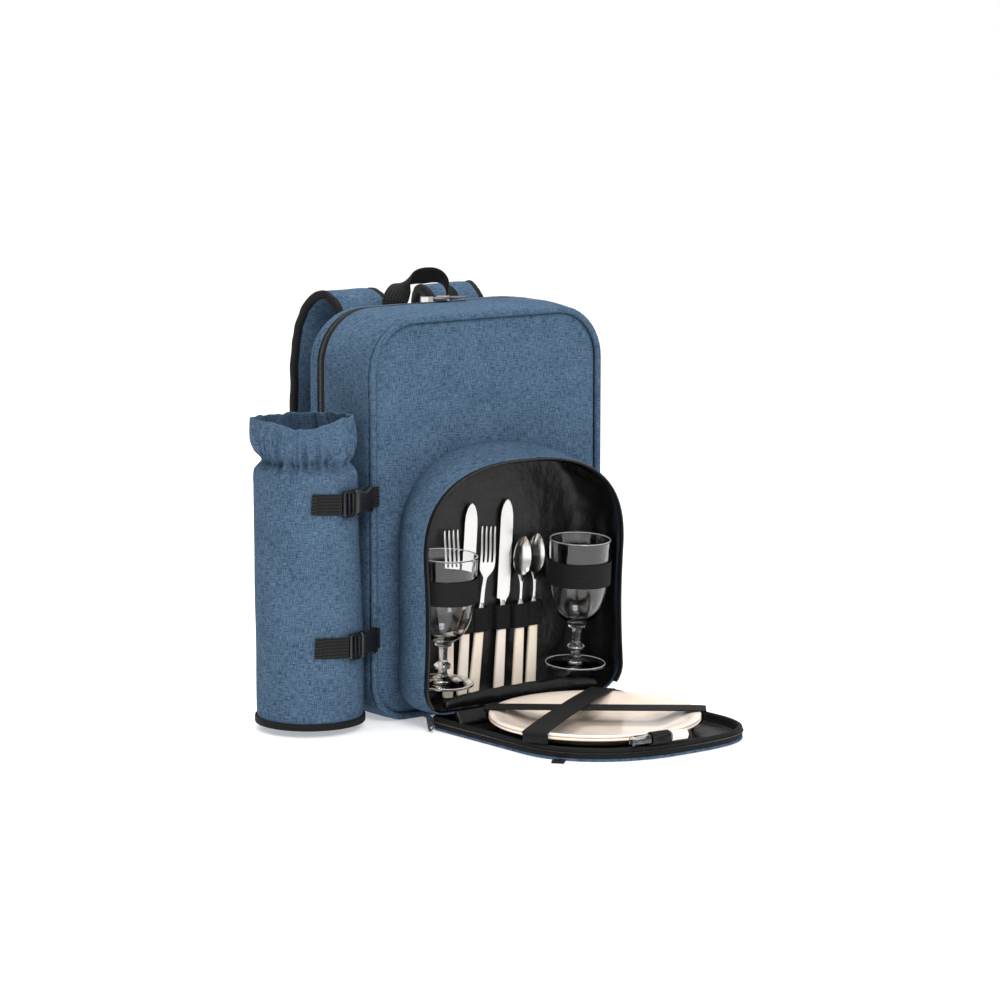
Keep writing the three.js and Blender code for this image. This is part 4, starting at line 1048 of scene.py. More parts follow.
@dataclass
class FrontPocket:
    """The arched front pocket, open, with its black lining."""

    body: MainBody
    base_half: float = 108.0
    mouth_half: float = 119.0
    depth: float = 60.0
    bottom: float = 14.0
    base_top: float = 267.0
    mouth_top: float = 256.0
    spring: float = 166.0
    corner: float = 27.0
    roundness: float = 2.5
    pinch: float = 2.5
    swelling: float = 8.5
    wall: float = 2.0
    lining: float = 1.5
    zip_depth: float = 6.0
    zip_end: float = 20.0
    lip_height: float = 15.0
    lip_depth: float = 9.0
    lip_half: float = 92.0
    creases: float = 8.5

    @property
    def mouth(self) -> float:
        """The mouth's depth."""
        return self.body.front - self.depth

    @property
    def floor(self) -> float:
        """The lining's floor."""
        return self.bottom + self.wall + SEAM_GAP + self.lining

    def outline(self, share: float, inset: float) -> list[Flat]:
        """The pocket's outline between the body, share 0, and the mouth, share 1."""
        swell = self.swelling * math.sin(math.pi * share)
        half = lerp(self.base_half, self.mouth_half, share) + swell - inset
        top = lerp(self.base_top, self.mouth_top, share) - inset
        return arch_outline(half, self.bottom + inset, self.spring, top, self.corner - inset, self.roundness,
                            pinch=self.pinch * share)

    def ring(self, share: float, inset: float, clearance: float = SOFT_GAP) -> Ring:
        """A ring of the pocket whose base follows the domed panel behind it."""
        return [(x, lerp(self.body.front_y(x, z) - clearance, self.mouth, share), z)
                for x, z in self.outline(share, inset)]

    def centre_out(self, p: Sequence[float]) -> Vector:
        """The direction away from the pocket's middle."""
        return Vector((p[0], 0.0, p[2] - 0.55 * self.spring)).normalized()

    def gusset(self) -> None:
        """The cloth wall round the pocket, gently creased."""
        rings = []
        for share in (0, 0.015, 0.05, 0.12, 0.22, 0.33, 0.45, 0.57, 0.69, 0.8, 0.9, 0.96, 1):
            tuck = 1.4 * max(0.0, 1 - share / 0.04)
            ring = []
            for x, y, z in self.ring(share, tuck):
                out = self.centre_out((x, y, z))
                hold = math.sin(math.pi * share) ** 0.7 * min(max((z - self.bottom) / 40, 0.0), 1.0)
                broad, fine = crumple((x, 1.4 * y, z), 44.0, 17.0), crumple((x, y, z), 18.0, 21.0)
                shift = hold * (1.7 * broad + 0.6 * fine)
                ring.append(tuple(Vector((x, y, z)) + out * shift))
            rings.append(ring)
        sewn("pocket_gusset_cloth", "pocket_gusset", loft(rings), 0.75 * self.wall)

    def lined(self) -> None:
        """The lining, loose on its walls and nearly flat at the back."""
        inset = self.wall + SEAM_GAP + self.lining
        clearance = SOFT_GAP + self.lining
        back = self.ring(0, inset, clearance)
        middle = (self.bottom + self.base_top) / 2
        rings = []
        for share in (0.06, 0.18, 0.32, 0.46, 0.6, 0.73, 0.84, 0.92):
            ring = []
            for x, _, z in back:
                px, pz = x * share, lerp(middle, z, share)
                soft = 0.9 * crumple((px, 0, pz), 40.0, 31.0) - 0.35 * abs(crumple((px, 0, pz), 15.0, 33.0))
                ring.append((px, self.body.front_y(px, pz) - clearance + min(soft, 0.0), pz))
            rings.append(ring)
        for share in (0.05, 0.12, 0.2, 0.28, 0.36, 0.45, 0.54, 0.63, 0.73, 0.82, 0.9, 0.96, 0.99):
            ring = []
            for x, y, z in self.ring(share, inset, clearance):
                inward = -self.centre_out((x, y, z))
                hold = math.sin(math.pi * min(share, 1)) ** 0.5 * min(max((z - self.floor) / 30, 0.0), 1.0)
                broad, fine = crumple((x, 1.2 * y, 0.8 * z), 27.0, 37.0), crumple((x, y, z), 12.0, 41.0)
                fold = abs(broad) * self.creases + abs(fine) * 1.8
                ring.append(tuple(Vector((x, y, z)) + inward * (hold * fold * (1.0 if x > 0 else 0.55))))
            rings.append(ring)
        bm = loft(rings, start=(0, self.body.front_y(0, middle) - clearance, middle))
        Make("satin_lining", "lining", ["pocket_lining"], smoothing=1).piece("pocket_lining_cloth", bm)

    def mouth_zip(self) -> None:
        """The zip tape and coil round the mouth, and the rolled lip across its bottom."""
        y = self.mouth - SEAM_GAP

        def line(inset: float, depth: float) -> list[Point]:
            """The zip's line at an inset and a depth."""
            return [(x, y - depth, z) for x, z in self.outline(1, inset) if z > self.zip_end]

        tape = swept(stations(line(1.4, self.zip_depth / 2), (0, -1, 0)),
                     tape_section(self.zip_depth, 2.2, -1.3))
        Make("zip_tape", "black_webbing", ["pocket_zip"]).piece("pocket_zip_tape", tape)
        teeth = coil(line(0.8, self.zip_depth - 0.5), self.centre_out, 2.1, (1.5, 1.9, 1.9))
        Make("zip_coil", "black_webbing").piece("pocket_zip_coil", teeth)
        rings = []
        middle = self.mouth + self.lip_depth / 2 + SEAM_GAP
        for i in range(61):
            x = lerp(-self.lip_half, self.lip_half, i / 60)
            taper = 1 - 0.45 * (x / self.lip_half) ** 4
            height = self.lip_height * taper * (1 + 0.1 * crumple((x, 0, 0), 20.0, 3.0))
            ring = []
            for k, (a, b) in enumerate(circle(1.0, 20)):
                fold = 1 + 0.16 * crumple((x, 30 * a, 30 * b), 14.0, 51.0)
                z = self.floor + SEAM_GAP + height * (b * fold + 1) / 2
                ring.append((x, middle + a * self.lip_depth / 2 * fold, z))
            rings.append(ring)
        roll = loft(rings, flat=True)
        Make("satin_lining", "lining", ["pocket_lip"], smoothing=1).piece("pocket_lip_roll", roll)

    def build(self) -> None:
        """Builds and dresses the pocket."""
        self.gusset()
        self.lined()
        self.mouth_zip()


@dataclass
class FoldedFlap:
    """The pocket's front, folded down on the floor as a tray."""

    pocket: FrontPocket
    offset: float = 6.0
    skew: float = 14.0
    half: float = 111.0
    hinge: float = -105.0
    length: float = 235.0
    arch_length: float = 92.0
    left_roundness: float = 2.15
    right_roundness: float = 3.3
    corner: float = 14.0
    wall_height: float = 13.2
    wall_thickness: float = 4.5
    floor: float = 3.8
    hinge_half: float = 84.0
    hinge_depth: float = 10.0

    def ring(self, inset: float, z: float) -> Ring:
        """The flap's outline, drawn in by an inset, at a height."""
        outline = arch_outline(self.half - inset, inset, self.length - self.arch_length, self.length - inset,
                               self.corner - min(inset, self.corner - 2), self.right_roundness,
                               self.left_roundness)
        return [(self.offset + x + self.skew * along / self.length, self.hinge - along, z)
                for x, along in outline]

    def centre(self, z: float) -> Point:
        """The middle of the flap at a height."""
        return (self.offset + self.skew / 2, self.hinge - self.length / 2, z)

    def away(self, p: Sequence[float]) -> Vector:
        """The level direction away from the flap's middle."""
        return Vector(p[:2]).to_3d() - Vector(self.centre(0.0)[:2]).to_3d()

    def build(self) -> None:
        """Builds and dresses the flap."""
        edge = [self.ring(inset, z) for inset, z in ((3, 0.1), (0.9, 0.2), (0.1, 0.8), (0, 1.6),
                                                     (0.1, 2.3), (0.9, 2.9))]
        panel = map_flat(loft(edge, start=self.centre(0.4)), (0, 1))
        sewn("flap_cloth", "flap_panel", panel)
        profile = [(0.9, 3.0), (0.2, 3.7), (0.1, 5.6), (0.3, 7.2), (1.2, 7.7), (1.3, 8.6), (0.3, 9.1),
                   (0.1, 10.4), (0.3, 11.8), (1.0, 12.8), (2.2, 13.25), (3.5, 13.0), (4.4, 12.1),
                   (4.8, 10.2), (5.1, 8.0), (5.6, 5.8), (6.0, 4.4)]
        rings = []
        for inset, z in profile:
            soft = 0.35 if z > 9 else 0.0
            rings.append([(x, y, h + soft * crumple((x, y, 0), 30.0, 61.0))
                          for x, y, h in self.ring(inset, z)])
        Make("binding", "lining", ["flap_lining"], smoothing=1).piece("flap_rim", loft(rings))
        teeth = coil(self.ring(0.0, 8.15) + self.ring(0.0, 8.15)[:1], self.away, 2.1, (1.5, 1.3, 1.7))
        Make("zip_coil", "black_webbing").piece("flap_zip_coil", teeth)
        rings = []
        for share, z in ((1, 4.8), (0.985, 4.0), (0.95, 3.85), (0.88, 3.8), (0.78, 3.8), (0.66, 3.8),
                         (0.52, 3.8), (0.36, 3.8),
                         (0.18, 3.8)):
            centre = Vector(self.centre(0))
            ring = []
            for p in self.ring(5.8, 0):
                q = centre.lerp(Vector(p), share)
                hold = math.sin(math.pi * min(share, 0.97)) if share > 0.6 else 0
                soft = 0.9 * crumple(q, 26.0, 71.0) * hold
                ring.append((q.x, q.y, max(z + abs(soft), 3.7)))
            rings.append(ring)
        Make("satin_lining", "lining", smoothing=1).piece("flap_floor", loft(rings, end=self.centre(3.8)))
        self.fold()
        for node, material, slot in (("flap_slider", "bright_nickel", "zip_metal"),
                                     ("flap_tab", "zip_tape", "black_webbing")):
            Make(material, slot, [node], bevel=0.45).piece(f"{node}_part", from_node(node))

    def fold(self) -> None:
        """The folded cloth that joins the tray to the pocket's lower edge."""
        low, under = self.floor + SEAM_GAP, self.pocket.bottom - SOFT_GAP
        face = self.pocket.mouth - SEAM_GAP
        back = self.hinge - self.wall_thickness - 0.4 * self.hinge_depth
        depth = self.hinge_depth
        corners = [(back, low), (back, under), (face, under), (face - 0.18 * depth, under + 0.4 * depth),
                   (face - 0.5 * depth, under + 0.1 * depth), (face - 1.1 * depth, low)]
        section = spline([(y, z, 0.0) for y, z in corners], 4, closed=True)
        rings = []
        for i in range(57):
            x = lerp(-self.hinge_half, self.hinge_half, i / 56)
            rings.append([(x, p.x, p.y + 0.9 * crumple((x, p.x, p.y), 16.0, 77.0)) for p in section])
        Make("satin_lining", "lining", ["flap_hinge"], smoothing=1).piece("flap_fold", loft(rings, flat=True))


@dataclass
class Cutlery:
    """Forks, knives and spoons standing in one stitched elastic."""

    pocket: FrontPocket
    band_bottom: float = 80.0
    band_width: float = 24.0
    elastic: float = 1.2
    handle_width: float = 12.0
    handle_thickness: float = 5.0
    handle_length: float = 84.0
    collar_length: float = 5.0
    collar_half: float = 3.4
    steel: float = 1.6
    fork_head: float = 18.0
    fork_length: float = 166.0
    tine_length: float = 36.0
    fork_root: float = 17.0
    knife_length: float = 190.0
    knife_width: float = 15.0
    spoon_length: float = 153.0
    bowl_width: float = 22.0
    bowl_length: float = 40.0
    bowl_depth: float = 4.0
    places: tuple[tuple[str, float, float, float], ...] = (
        ("fork", -0.51, 1.5, 0.0), ("knife", -0.324, 4.0, 0.0), ("fork", -0.157, 6.5, 0.0),
        ("knife", 0.083, 3.5, 0.0), ("spoon", 0.256, 3.0, 0.9), ("spoon", 0.434, 3.0, 0.15),
    )

    @property
    def line_y(self) -> float:
        """The depth of the cutlery's middle."""
        body = self.pocket.body
        return (body.front - body.front_bulge - 2 * SOFT_GAP - self.pocket.lining - 2 * SEAM_GAP
                - self.handle_thickness / 2)

    @property
    def handle_top(self) -> float:
        """The height of the handles' upper ends."""
        return self.pocket.floor + SOFT_GAP + self.handle_length

    def blank(self, outline: Sequence[Flat], bend: Callable[[float], float]) -> BMesh:
        """A flat steel blank cut to an outline, then bent.

        Args:
            outline: Its points in X and Z.
            bend: The shift along Y at a height.

        Returns:
            The mesh.
        """
        bm = bmesh.new()
        verts = [bm.verts.new((x, -self.steel / 2, z)) for x, z in outline]
        edges = [bm.edges.new((verts[i - 1], verts[i])) for i in range(len(verts))]
        bmesh.ops.triangle_fill(bm, edges=edges, use_beauty=True)
        made = bmesh.ops.extrude_face_region(bm, geom=bm.faces[:])["geom"]
        bmesh.ops.translate(bm, vec=(0, self.steel, 0), verts=[v for v in made if isinstance(v, BMVert)])
        lowest, highest = min(z for _, z in outline), max(z for _, z in outline)
        for i in range(1, 16):
            bmesh.ops.bisect_plane(bm, geom=[*bm.verts, *bm.edges, *bm.faces], plane_no=UP,
                                   plane_co=(0, 0, lerp(lowest, highest, i / 16)))
        for vert in bm.verts:
            vert.co.y += bend(vert.co.z)
        return bm

    def ferrule(self) -> BMesh:
        """The steel collar between a handle and its blade."""
        rows = [(-1.5, 4.0, 2.3), (0.4, 4.1, 2.4), (1.4, 3.9, 2.3), (3.4, 3.1, 1.7), (6.0, 2.5, 1.2)]
        turns = [2 * math.pi * k / 20 for k in range(20)]
        return loft([[(w * math.cos(t), d * math.sin(t), z) for t in turns] for z, w, d in rows], flat=True)

    def fork(self) -> BMesh:
        """A fork's head, neck and collar over the handle."""
        top, half, tine = self.fork_length - self.handle_length, self.fork_head / 2, self.fork_head / 7
        neck = top - self.tine_length - self.fork_root
        shoulder = spline([(0.6 * self.collar_half, neck, 0), (2.7, neck + 2.6, 0), (5.2, neck + 5.8, 0),
                           (7.9, neck + 9.6, 0), (8.9, neck + 14, 0), (half, neck + 18.5, 0)], 4)
        right = [(self.collar_half, -self.collar_length), (self.collar_half, 0), (2.3, 3)]
        right += [(p.x, p.y) for p in shoulder]
        tips: list[Flat] = []
        for i in range(4):
            edge = half - 2 * i * tine
            tips += [(edge - 0.1 * tine, top - 8), (edge - 0.22 * tine, top - 1.6),
                     (edge - 0.38 * tine, top - 0.2),
                     (edge - 0.62 * tine, top - 0.2), (edge - 0.78 * tine, top - 1.6),
                     (edge - 0.9 * tine, top - 8)]
            if i < 3:
                root = top - self.tine_length
                tips += [(edge - tine, root + 2), (edge - 1.2 * tine, root + 0.4), (edge - 1.5 * tine, root),
                         (edge - 1.8 * tine, root + 0.4), (edge - 2 * tine, root + 2)]
        outline = [*right, *tips, *((-x, z) for x, z in reversed(right))]

        def bend(z: float) -> float:
            """The head's forward bow above its neck."""
            share = min(max((z - 14) / (top - 14), 0), 1)
            return -3.2 * math.sin(math.pi * share) ** 2 if z > 14 else 0.0

        return merged([self.blank(outline, bend), self.ferrule()])

    def knife(self) -> BMesh:
        """A table knife's blade and collar."""
        top, half = self.knife_length - self.handle_length, self.knife_width / 2
        shares = [(0.36, 0.03), (0.52, 0.06), (0.86, 0.095), (1, 0.14), (1, 0.5), (1, 0.78),
                  (0.93, 0.86), (0.74, 0.925), (0.42, 0.975), (0.02, 1), (-0.34, 0.985), (-0.68, 0.945),
                  (-0.92, 0.89), (-1, 0.82), (-1, 0.5), (-1, 0.09), (-0.96, 0.075), (-0.5, 0.07),
                  (-0.36, 0.03)]
        curve = [(x * half, z * top) for x, z in shares]
        collar = [(self.collar_half, -self.collar_length), (self.collar_half, 0)]
        outline = [*collar, *curve, *((-x, z) for x, z in reversed(collar))]
        return merged([self.blank(outline, lambda z: 0.0), self.ferrule()])

    def spoon(self) -> BMesh:
        """A spoon's dished bowl, stem and collar."""
        top = self.spoon_length - self.handle_length
        middle = top - self.bowl_length / 2
        bowl = []
        for share in (0.08, 0.3, 0.5, 0.68, 0.83, 0.94, 1.0):
            depth = self.bowl_depth * (1 - share**2.4)
            bowl.append([(a * share * self.bowl_width * (1 - 0.14 * b) / 2, depth,
                          middle + b * share * self.bowl_length / 2)
                         for a, b in circle(1.0, 40)])
        shell = loft(bowl, start=(0, self.bowl_depth, middle))
        bmesh.ops.recalc_face_normals(shell, faces=shell.faces)
        bmesh.ops.solidify(shell, geom=shell.faces[:], thickness=1.1)
        rows = [(-4, 3.2, 1.0, 0), (0, 3.2, 1.1, 0), (4, 2.0, 1.1, 0), (14, 1.8, 1.0, -0.5),
                (22, 2.1, 0.9, -0.4), (27.5, 3.2, 0.8, 0), (31, 4.6, 0.5, 0.9), (34, 4.0, 0.3, 1.8)]
        turns = [2 * math.pi * k / 18 for k in range(18)]
        stem = loft([[(w * math.cos(t), y + d * math.sin(t), z) for t in turns] for z, w, d, y in rows],
                    flat=True)
        return merged([shell, stem, self.ferrule()])

    def handle(self) -> BMesh:
        """A flat handle that widens to its rounded foot."""
        rows = [(0, 0.62), (0.008, 0.7), (0.03, 0.745), (0.1, 0.79), (0.3, 0.86), (0.6, 0.94),
                (0.85, 0.99), (0.95, 1.0), (0.98, 0.985), (0.994, 0.94), (1, 0.86)]
        rings = []
        for down, width in rows:
            flat = min(width / 0.745, 1.0)
            ring = []
            for k in range(28):
                t = 2 * math.pi * k / 28
                c, s = math.cos(t), math.sin(t)
                ring.append((self.handle_width * width / 2 * math.copysign(abs(c) ** 0.55, c),
                             self.handle_thickness * flat / 2 * math.copysign(abs(s) ** 0.7, s),
                             -down * self.handle_length))
            rings.append(ring)
        return loft(rings, flat=True)

    def lining_y(self, x: float, z: float) -> float:
        """The lining's face on the pocket's back, with a clearance."""
        return self.pocket.body.front_y(x, z) - SOFT_GAP - self.pocket.lining - 2 * SEAM_GAP

    def elastic_band(self) -> None:
        """The elastic over the handles, stitched down between them."""
        height = self.band_bottom + self.band_width / 2
        reach = self.handle_width / 2 + 1.5 * self.elastic
        path: list[Point] = []
        seams: list[BMesh] = []
        for _, share, lean, forward in self.places:
            x = share * self.pocket.base_half
            middle = x - (self.handle_top - height) * math.tan(math.radians(lean))
            over = self.line_y - forward * self.handle_thickness - self.handle_thickness / 2 - 1.5 * SEAM_GAP
            for way in (-1, 1):
                points = []
                seam_x = middle + way * (reach + 1.2 * self.elastic)
                points.append((seam_x, self.lining_y(seam_x, self.band_bottom + self.band_width), height))
                points.append((middle + way * (reach - 0.3 * self.elastic), over + 1.2 * self.elastic,
                               height))
                points.append((middle + way * (reach - 2 * self.elastic), over, height))
                path += points if way < 0 else list(reversed(points))
            seam_x = middle - reach - 1.2 * self.elastic
            y = self.lining_y(seam_x, height) - self.elastic - 0.3
            line = [(seam_x, y, height - 11), (seam_x, y, height + 11)]
            seams.append(stitches(line, lambda p: Vector((0, -1, 0)), 2.8))
        band = swept(stations(spline(path, 3), UP), tape_section(self.band_width, self.elastic, columns=10))
        Make("elastic", "black_webbing", ["cutlery_elastic"]).piece("cutlery_band", band)
        Make("thread", "black_webbing").piece("cutlery_band_seams", merged(seams))

    def build(self) -> None:
        """Builds and dresses the cutlery and its elastic."""
        shapes = {"fork": self.fork, "knife": self.knife, "spoon": self.spoon}
        counts: dict[str, int] = {}
        for kind, share, lean, forward in self.places:
            counts[kind] = counts.get(kind, 0) + 1
            node = f"{kind}_{counts[kind]}"
            place = Vector((share * self.pocket.base_half, self.line_y - forward * self.handle_thickness,
                            self.handle_top))
            matrix = Matrix.Translation(place) @ Matrix.Rotation(math.radians(lean), 4, "Y")
            steel, grip = shapes[kind](), self.handle()
            for bm in (steel, grip):
                bmesh.ops.transform(bm, matrix=matrix, verts=bm.verts)
            Make("cutlery_steel", "steel", [node], sharp=35).piece(f"{node}_steel", steel)
            colour = "rose_handle" if kind == "knife" else "tan_handle"
            Make(colour, "cream_plastic", [f"{node}_handle"]).piece(f"{node}_grip", grip)
        self.elastic_band()


@dataclass
class Goblets:
    """Two clear stemmed goblets held by elastic bands."""

    cutlery: Cutlery
    radius: float = 30.7
    height: float = 128.0
    foot_z: float = 40.0
    wall: float = 1.8
    lean: float = 3.5
    band_width: float = 24.0
    band_share: float = 0.745
    seam_share: float = 0.45
    # size of the painted highlight rings at the rim and the foot
    edge: float = 0.45
    sides: tuple[tuple[str, float], ...] = (("left", -0.764), ("right", 0.731))

    @property
    def line_y(self) -> float:
        """The depth of the goblets' feet."""
        body = self.cutlery.pocket.body
        return body.front - body.front_bulge - SOFT_GAP - self.cutlery.pocket.lining - self.radius

    def goblet(self) -> BMesh:
        """A goblet standing on its foot."""
        r, h = self.radius, self.height
        outer = [(0.6, 0.036), (0.25, 0.055), (0.165, 0.08), (0.14, 0.11), (0.24, 0.125), (0.28, 0.142),
                 (0.24, 0.16), (0.15, 0.178), (0.14, 0.23), (0.15, 0.285), (0.26, 0.302), (0.27, 0.318),
                 (0.36, 0.34), (0.56, 0.378), (0.74, 0.44), (0.865, 0.52), (0.935, 0.61), (0.965, 0.72),
                 (0.98, 0.85), (0.99, 0.97)]
        inner = [(0.965, 0.985), (0.955, 0.9), (0.94, 0.8), (0.915, 0.68), (0.87, 0.58), (0.76, 0.47),
                 (0.58, 0.4), (0.3, 0.362)]
        skin = [(p.x, p.y) for p in spline([(x * r, z * h, 0) for x, z in outer], 3)]
        hollow = [(p.x, p.y) for p in spline([(x * r, z * h, 0) for x, z in inner], 3)]
        rim = [(0.998 * r, 0.985 * h), (0.998 * r, 0.996 * h), (0.985 * r, h), (0.972 * r, 0.996 * h)]
        foot = [(0, 0.6), (0.88 * r, 0.4), (0.97 * r, 0), (r, 0.35), (r, 1.5), (0.985 * r, 2.0),
                (0.94 * r, 2.1)]
        return turned([*foot, *skin, *rim, *hollow, (0, 0.352 * h)], 80)

    def band(self, x: float) -> BMesh:
        """The elastic round a bowl's front, its ends back at the lining."""
        radius = 0.98 * self.radius + 2 * SEAM_GAP
        height = self.foot_z + self.band_share * self.height
        leaned = self.band_share * self.height * math.sin(math.radians(self.lean))

        def seam(side: int) -> Point:
            """Where an end is sewn to the lining."""
            px = side * self.seam_share * self.radius
            y = self.cutlery.lining_y(x + px, height + self.band_width / 2) - self.line_y + leaned - SOFT_GAP
            return (px, y, 0.0)

        curve = [(px, py, 0.0) for px, py in arc((0, 0), radius, 148, 392, 56)]
        path = [seam(-1), *curve, seam(1)]
        return swept(stations(path, UP), tape_section(self.band_width, 1.2, columns=12))

    def build(self) -> None:
        """Builds and dresses both goblets and their bands."""
        e = self.edge
        for side, share in self.sides:
            x = share * self.cutlery.pocket.base_half
            foot = Matrix.Translation((x, self.line_y, self.foot_z))
            matrix = foot @ Matrix.Rotation(math.radians(self.lean), 4, "X")
            glass, band = self.goblet(), self.band(x)
            bmesh.ops.translate(band, vec=(0, 0, self.band_share * self.height), verts=band.verts)
            for bm in (glass, band):
                bmesh.ops.transform(bm, matrix=matrix, verts=bm.verts)
            Make("clear_plastic", "clear_plastic", [f"goblet_{side}"]).piece(f"goblet_{side}_glass", glass)
            # painted highlights: half-white rings at the rim and the foot's edge stand in for their bright
            # reflections
            edges = merged(turned([(r, z), (r + e, z + e), (r, z + 2 * e), (r - e, z + e), (r, z)], 80)
                           for r, z in ((0.975 * self.radius, self.height - 2 * e),
                                        (0.965 * self.radius, 1.6)))
            bmesh.ops.transform(edges, matrix=matrix, verts=edges.verts)
            Make("rim_highlight_white", "clear_plastic").piece(f"goblet_{side}_edges", edges)
            Make("elastic", "black_webbing", [f"goblet_band_{side}"]).piece(f"goblet_{side}_band", band)


@dataclass
class PlateTray:
    """Two plates on the flap, held down by crossed elastics, and a shaker in its loop."""

    flap: FoldedFlap
    margin: float = 16.0
    height: float = 16.4
    thickness: float = 2.6
    stack: float = 3.1
    band_width: float = 25.0
    band_rise: float = 1.7
    tuck: float = 5.0
    elastic: float = 1.2
    shaker_radius: float = 4.8
    tube_length: float = 44.0
    cap_length: float = 18.0
    shaker_x: float = -3.0
    shaker_inset: float = 4.0
    loop_width: float = 20.0

    @property
    def radius(self) -> float:
        """A plate's radius."""
        return self.flap.length / 2 - self.margin

    @property
    def middle(self) -> Point:
        """The lower plate's place."""
        return (self.flap.offset - 0.01 * self.flap.half, self.flap.hinge - 0.523 * self.flap.length,
                self.flap.floor + SEAM_GAP)

    @property
    def rim(self) -> float:
        """The height of the upper plate's rim."""
        return self.middle[2] + self.stack + self.height

    def plate(self) -> BMesh:
        """A shallow plate with a rounded rim."""
        rise, r, t = self.height - self.thickness, self.radius, self.thickness
        shares = [(0.5, 0), (0.56, 0.0), (0.61, 0.035), (0.67, 0.14), (0.75, 0.4), (0.84, 0.7),
                  (0.92, 0.92), (0.97, 0.985), (0.992, 1.0)]
        under = [(p.x, p.y) for p in spline([(x * r, z * rise, 0) for x, z in shares], 3)]
        rim = [(0.998 * r, rise + 0.25 * t), (r, rise + 0.5 * t), (0.998 * r, rise + 0.75 * t)]
        over = [(x - 0.4, z + t) for x, z in reversed(under)]
        return turned([(0, 0), *under, *rim, *over, (0, t)], 128)

    def cross_band(self, angle: float, offset: float, lift: float, to_wall: bool) -> BMesh:
        """An elastic over the rim and across the plates.

        Args:
            angle: Its direction in degrees.
            offset: How far it passes the middle.
            lift: How far it rises over the band under it.
            to_wall: Whether its near end is sewn to the tray's wall.

        Returns:
            The mesh.
        """
        way = Vector((math.cos(math.radians(angle)), math.sin(math.radians(angle)), 0))
        aside = Vector((-way.y, way.x, 0))
        centre = Vector((*self.middle[:2], 0)) + aside * offset
        half = math.sqrt(self.radius**2 - (abs(offset) - self.band_width / 2) ** 2) + SOFT_GAP
        rim, t = self.rim + SEAM_GAP, self.elastic
        over = [(0.0, rim + lift), (0.4 * half, rim + lift), (half - SOFT_GAP, rim),
                (half + t, rim - 1.6 * t)]
        low = self.middle[2]
        floor = [(half + 0.6, low + 0.72 * self.height), (0.94 * half, low + 0.42 * self.height),
                 (half - 2 * self.tuck, self.flap.floor + SEAM_GAP + t)]
        wall = [(half + t, self.flap.wall_height + SOFT_GAP)]
        near = [(-d, z) for d, z in reversed([*over[1:], *(wall if to_wall else floor)])]
        path = [centre + way * d + Vector((0, 0, z)) for d, z in [*near, *over, *floor]]
        return swept(stations(spline(path, 4), tuple(aside)), tape_section(self.band_width, t, columns=10))

    def shaker(self) -> None:
        """The shaker, its loop and its cap."""
        r = self.shaker_radius
        z = self.flap.wall_height + self.elastic + 2 * SEAM_GAP + r
        place = Vector((self.shaker_x, self.flap.hinge - self.flap.length + self.shaker_inset, z))
        matrix = Matrix.Translation(place) @ Matrix.Rotation(math.radians(-4), 4, "Z")
        left = -(self.tube_length + self.cap_length) / 2
        start = left + self.tube_length
        along = Matrix.Rotation(math.radians(90), 4, "Y")
        tube = turned([(0, 0), (r - 1.2, 0), (r - 0.3, 0.3), (r, 1.2), (r, 26), (r, start - left - 0.3),
                       (r - 0.9, start - left - 0.3),
                       (r - 0.9, 2), (r - 1.6, 1.2), (0, 1.2)], 40)
        cap = turned([(0, 0), (r - 0.4, 0), (r, 0.5), (r, 5), (r - 0.35, 5.4), (r - 0.35, 6), (r, 6.4),
                      (r, self.cap_length - 1), (r - 1, self.cap_length), (0, self.cap_length)], 40)
        inner = r + SEAM_GAP
        loop = turned([(inner, 0), (inner + self.elastic, 0), (inner + self.elastic, self.loop_width),
                       (inner, self.loop_width), (inner, 0)], 40)
        for bm, at, name, material, slot in (
            (tube, left, "shaker_tube", "clear_plastic", "clear_plastic"),
            (cap, start, "shaker_cap", "cream_plate", "cream_plastic"),
            (loop, -self.loop_width / 2, "shaker_loop", "elastic", "black_webbing"),
        ):
            bmesh.ops.transform(bm, matrix=matrix @ Matrix.Translation((at, 0, 0)) @ along, verts=bm.verts)
            Make(material, slot, [name]).piece(f"{name}_part", map_flat(bm, (1, 0)))

    def build(self) -> None:
        """Builds and dresses the plates, bands and shaker."""
        for i, name in enumerate(("plate_lower", "plate_upper")):
            bm = self.plate()
            bmesh.ops.translate(bm, vec=Vector(self.middle) + Vector((0, 0, i * self.stack)), verts=bm.verts)
            Make("cream_plate", "cream_plastic", [name]).piece(f"{name}_dish", bm)
        bands = ((-37.8, 0.167 * self.radius, 0.0, False), (34.8, 0.246 * self.radius, self.band_rise, True))
        for i, band in enumerate(bands, 1):
            elastic = self.cross_band(*band)
            Make("elastic", "black_webbing", [f"cross_band_{i}"]).piece(f"cross_elastic_{i}", elastic)
        self.shaker()


@dataclass
class Course:
    """A webbing's way round the pouch and on to the body's seam."""

    centre: Flat
    radius: float
    angle: float
    tangent: Vector
    end: Vector
    way: Vector


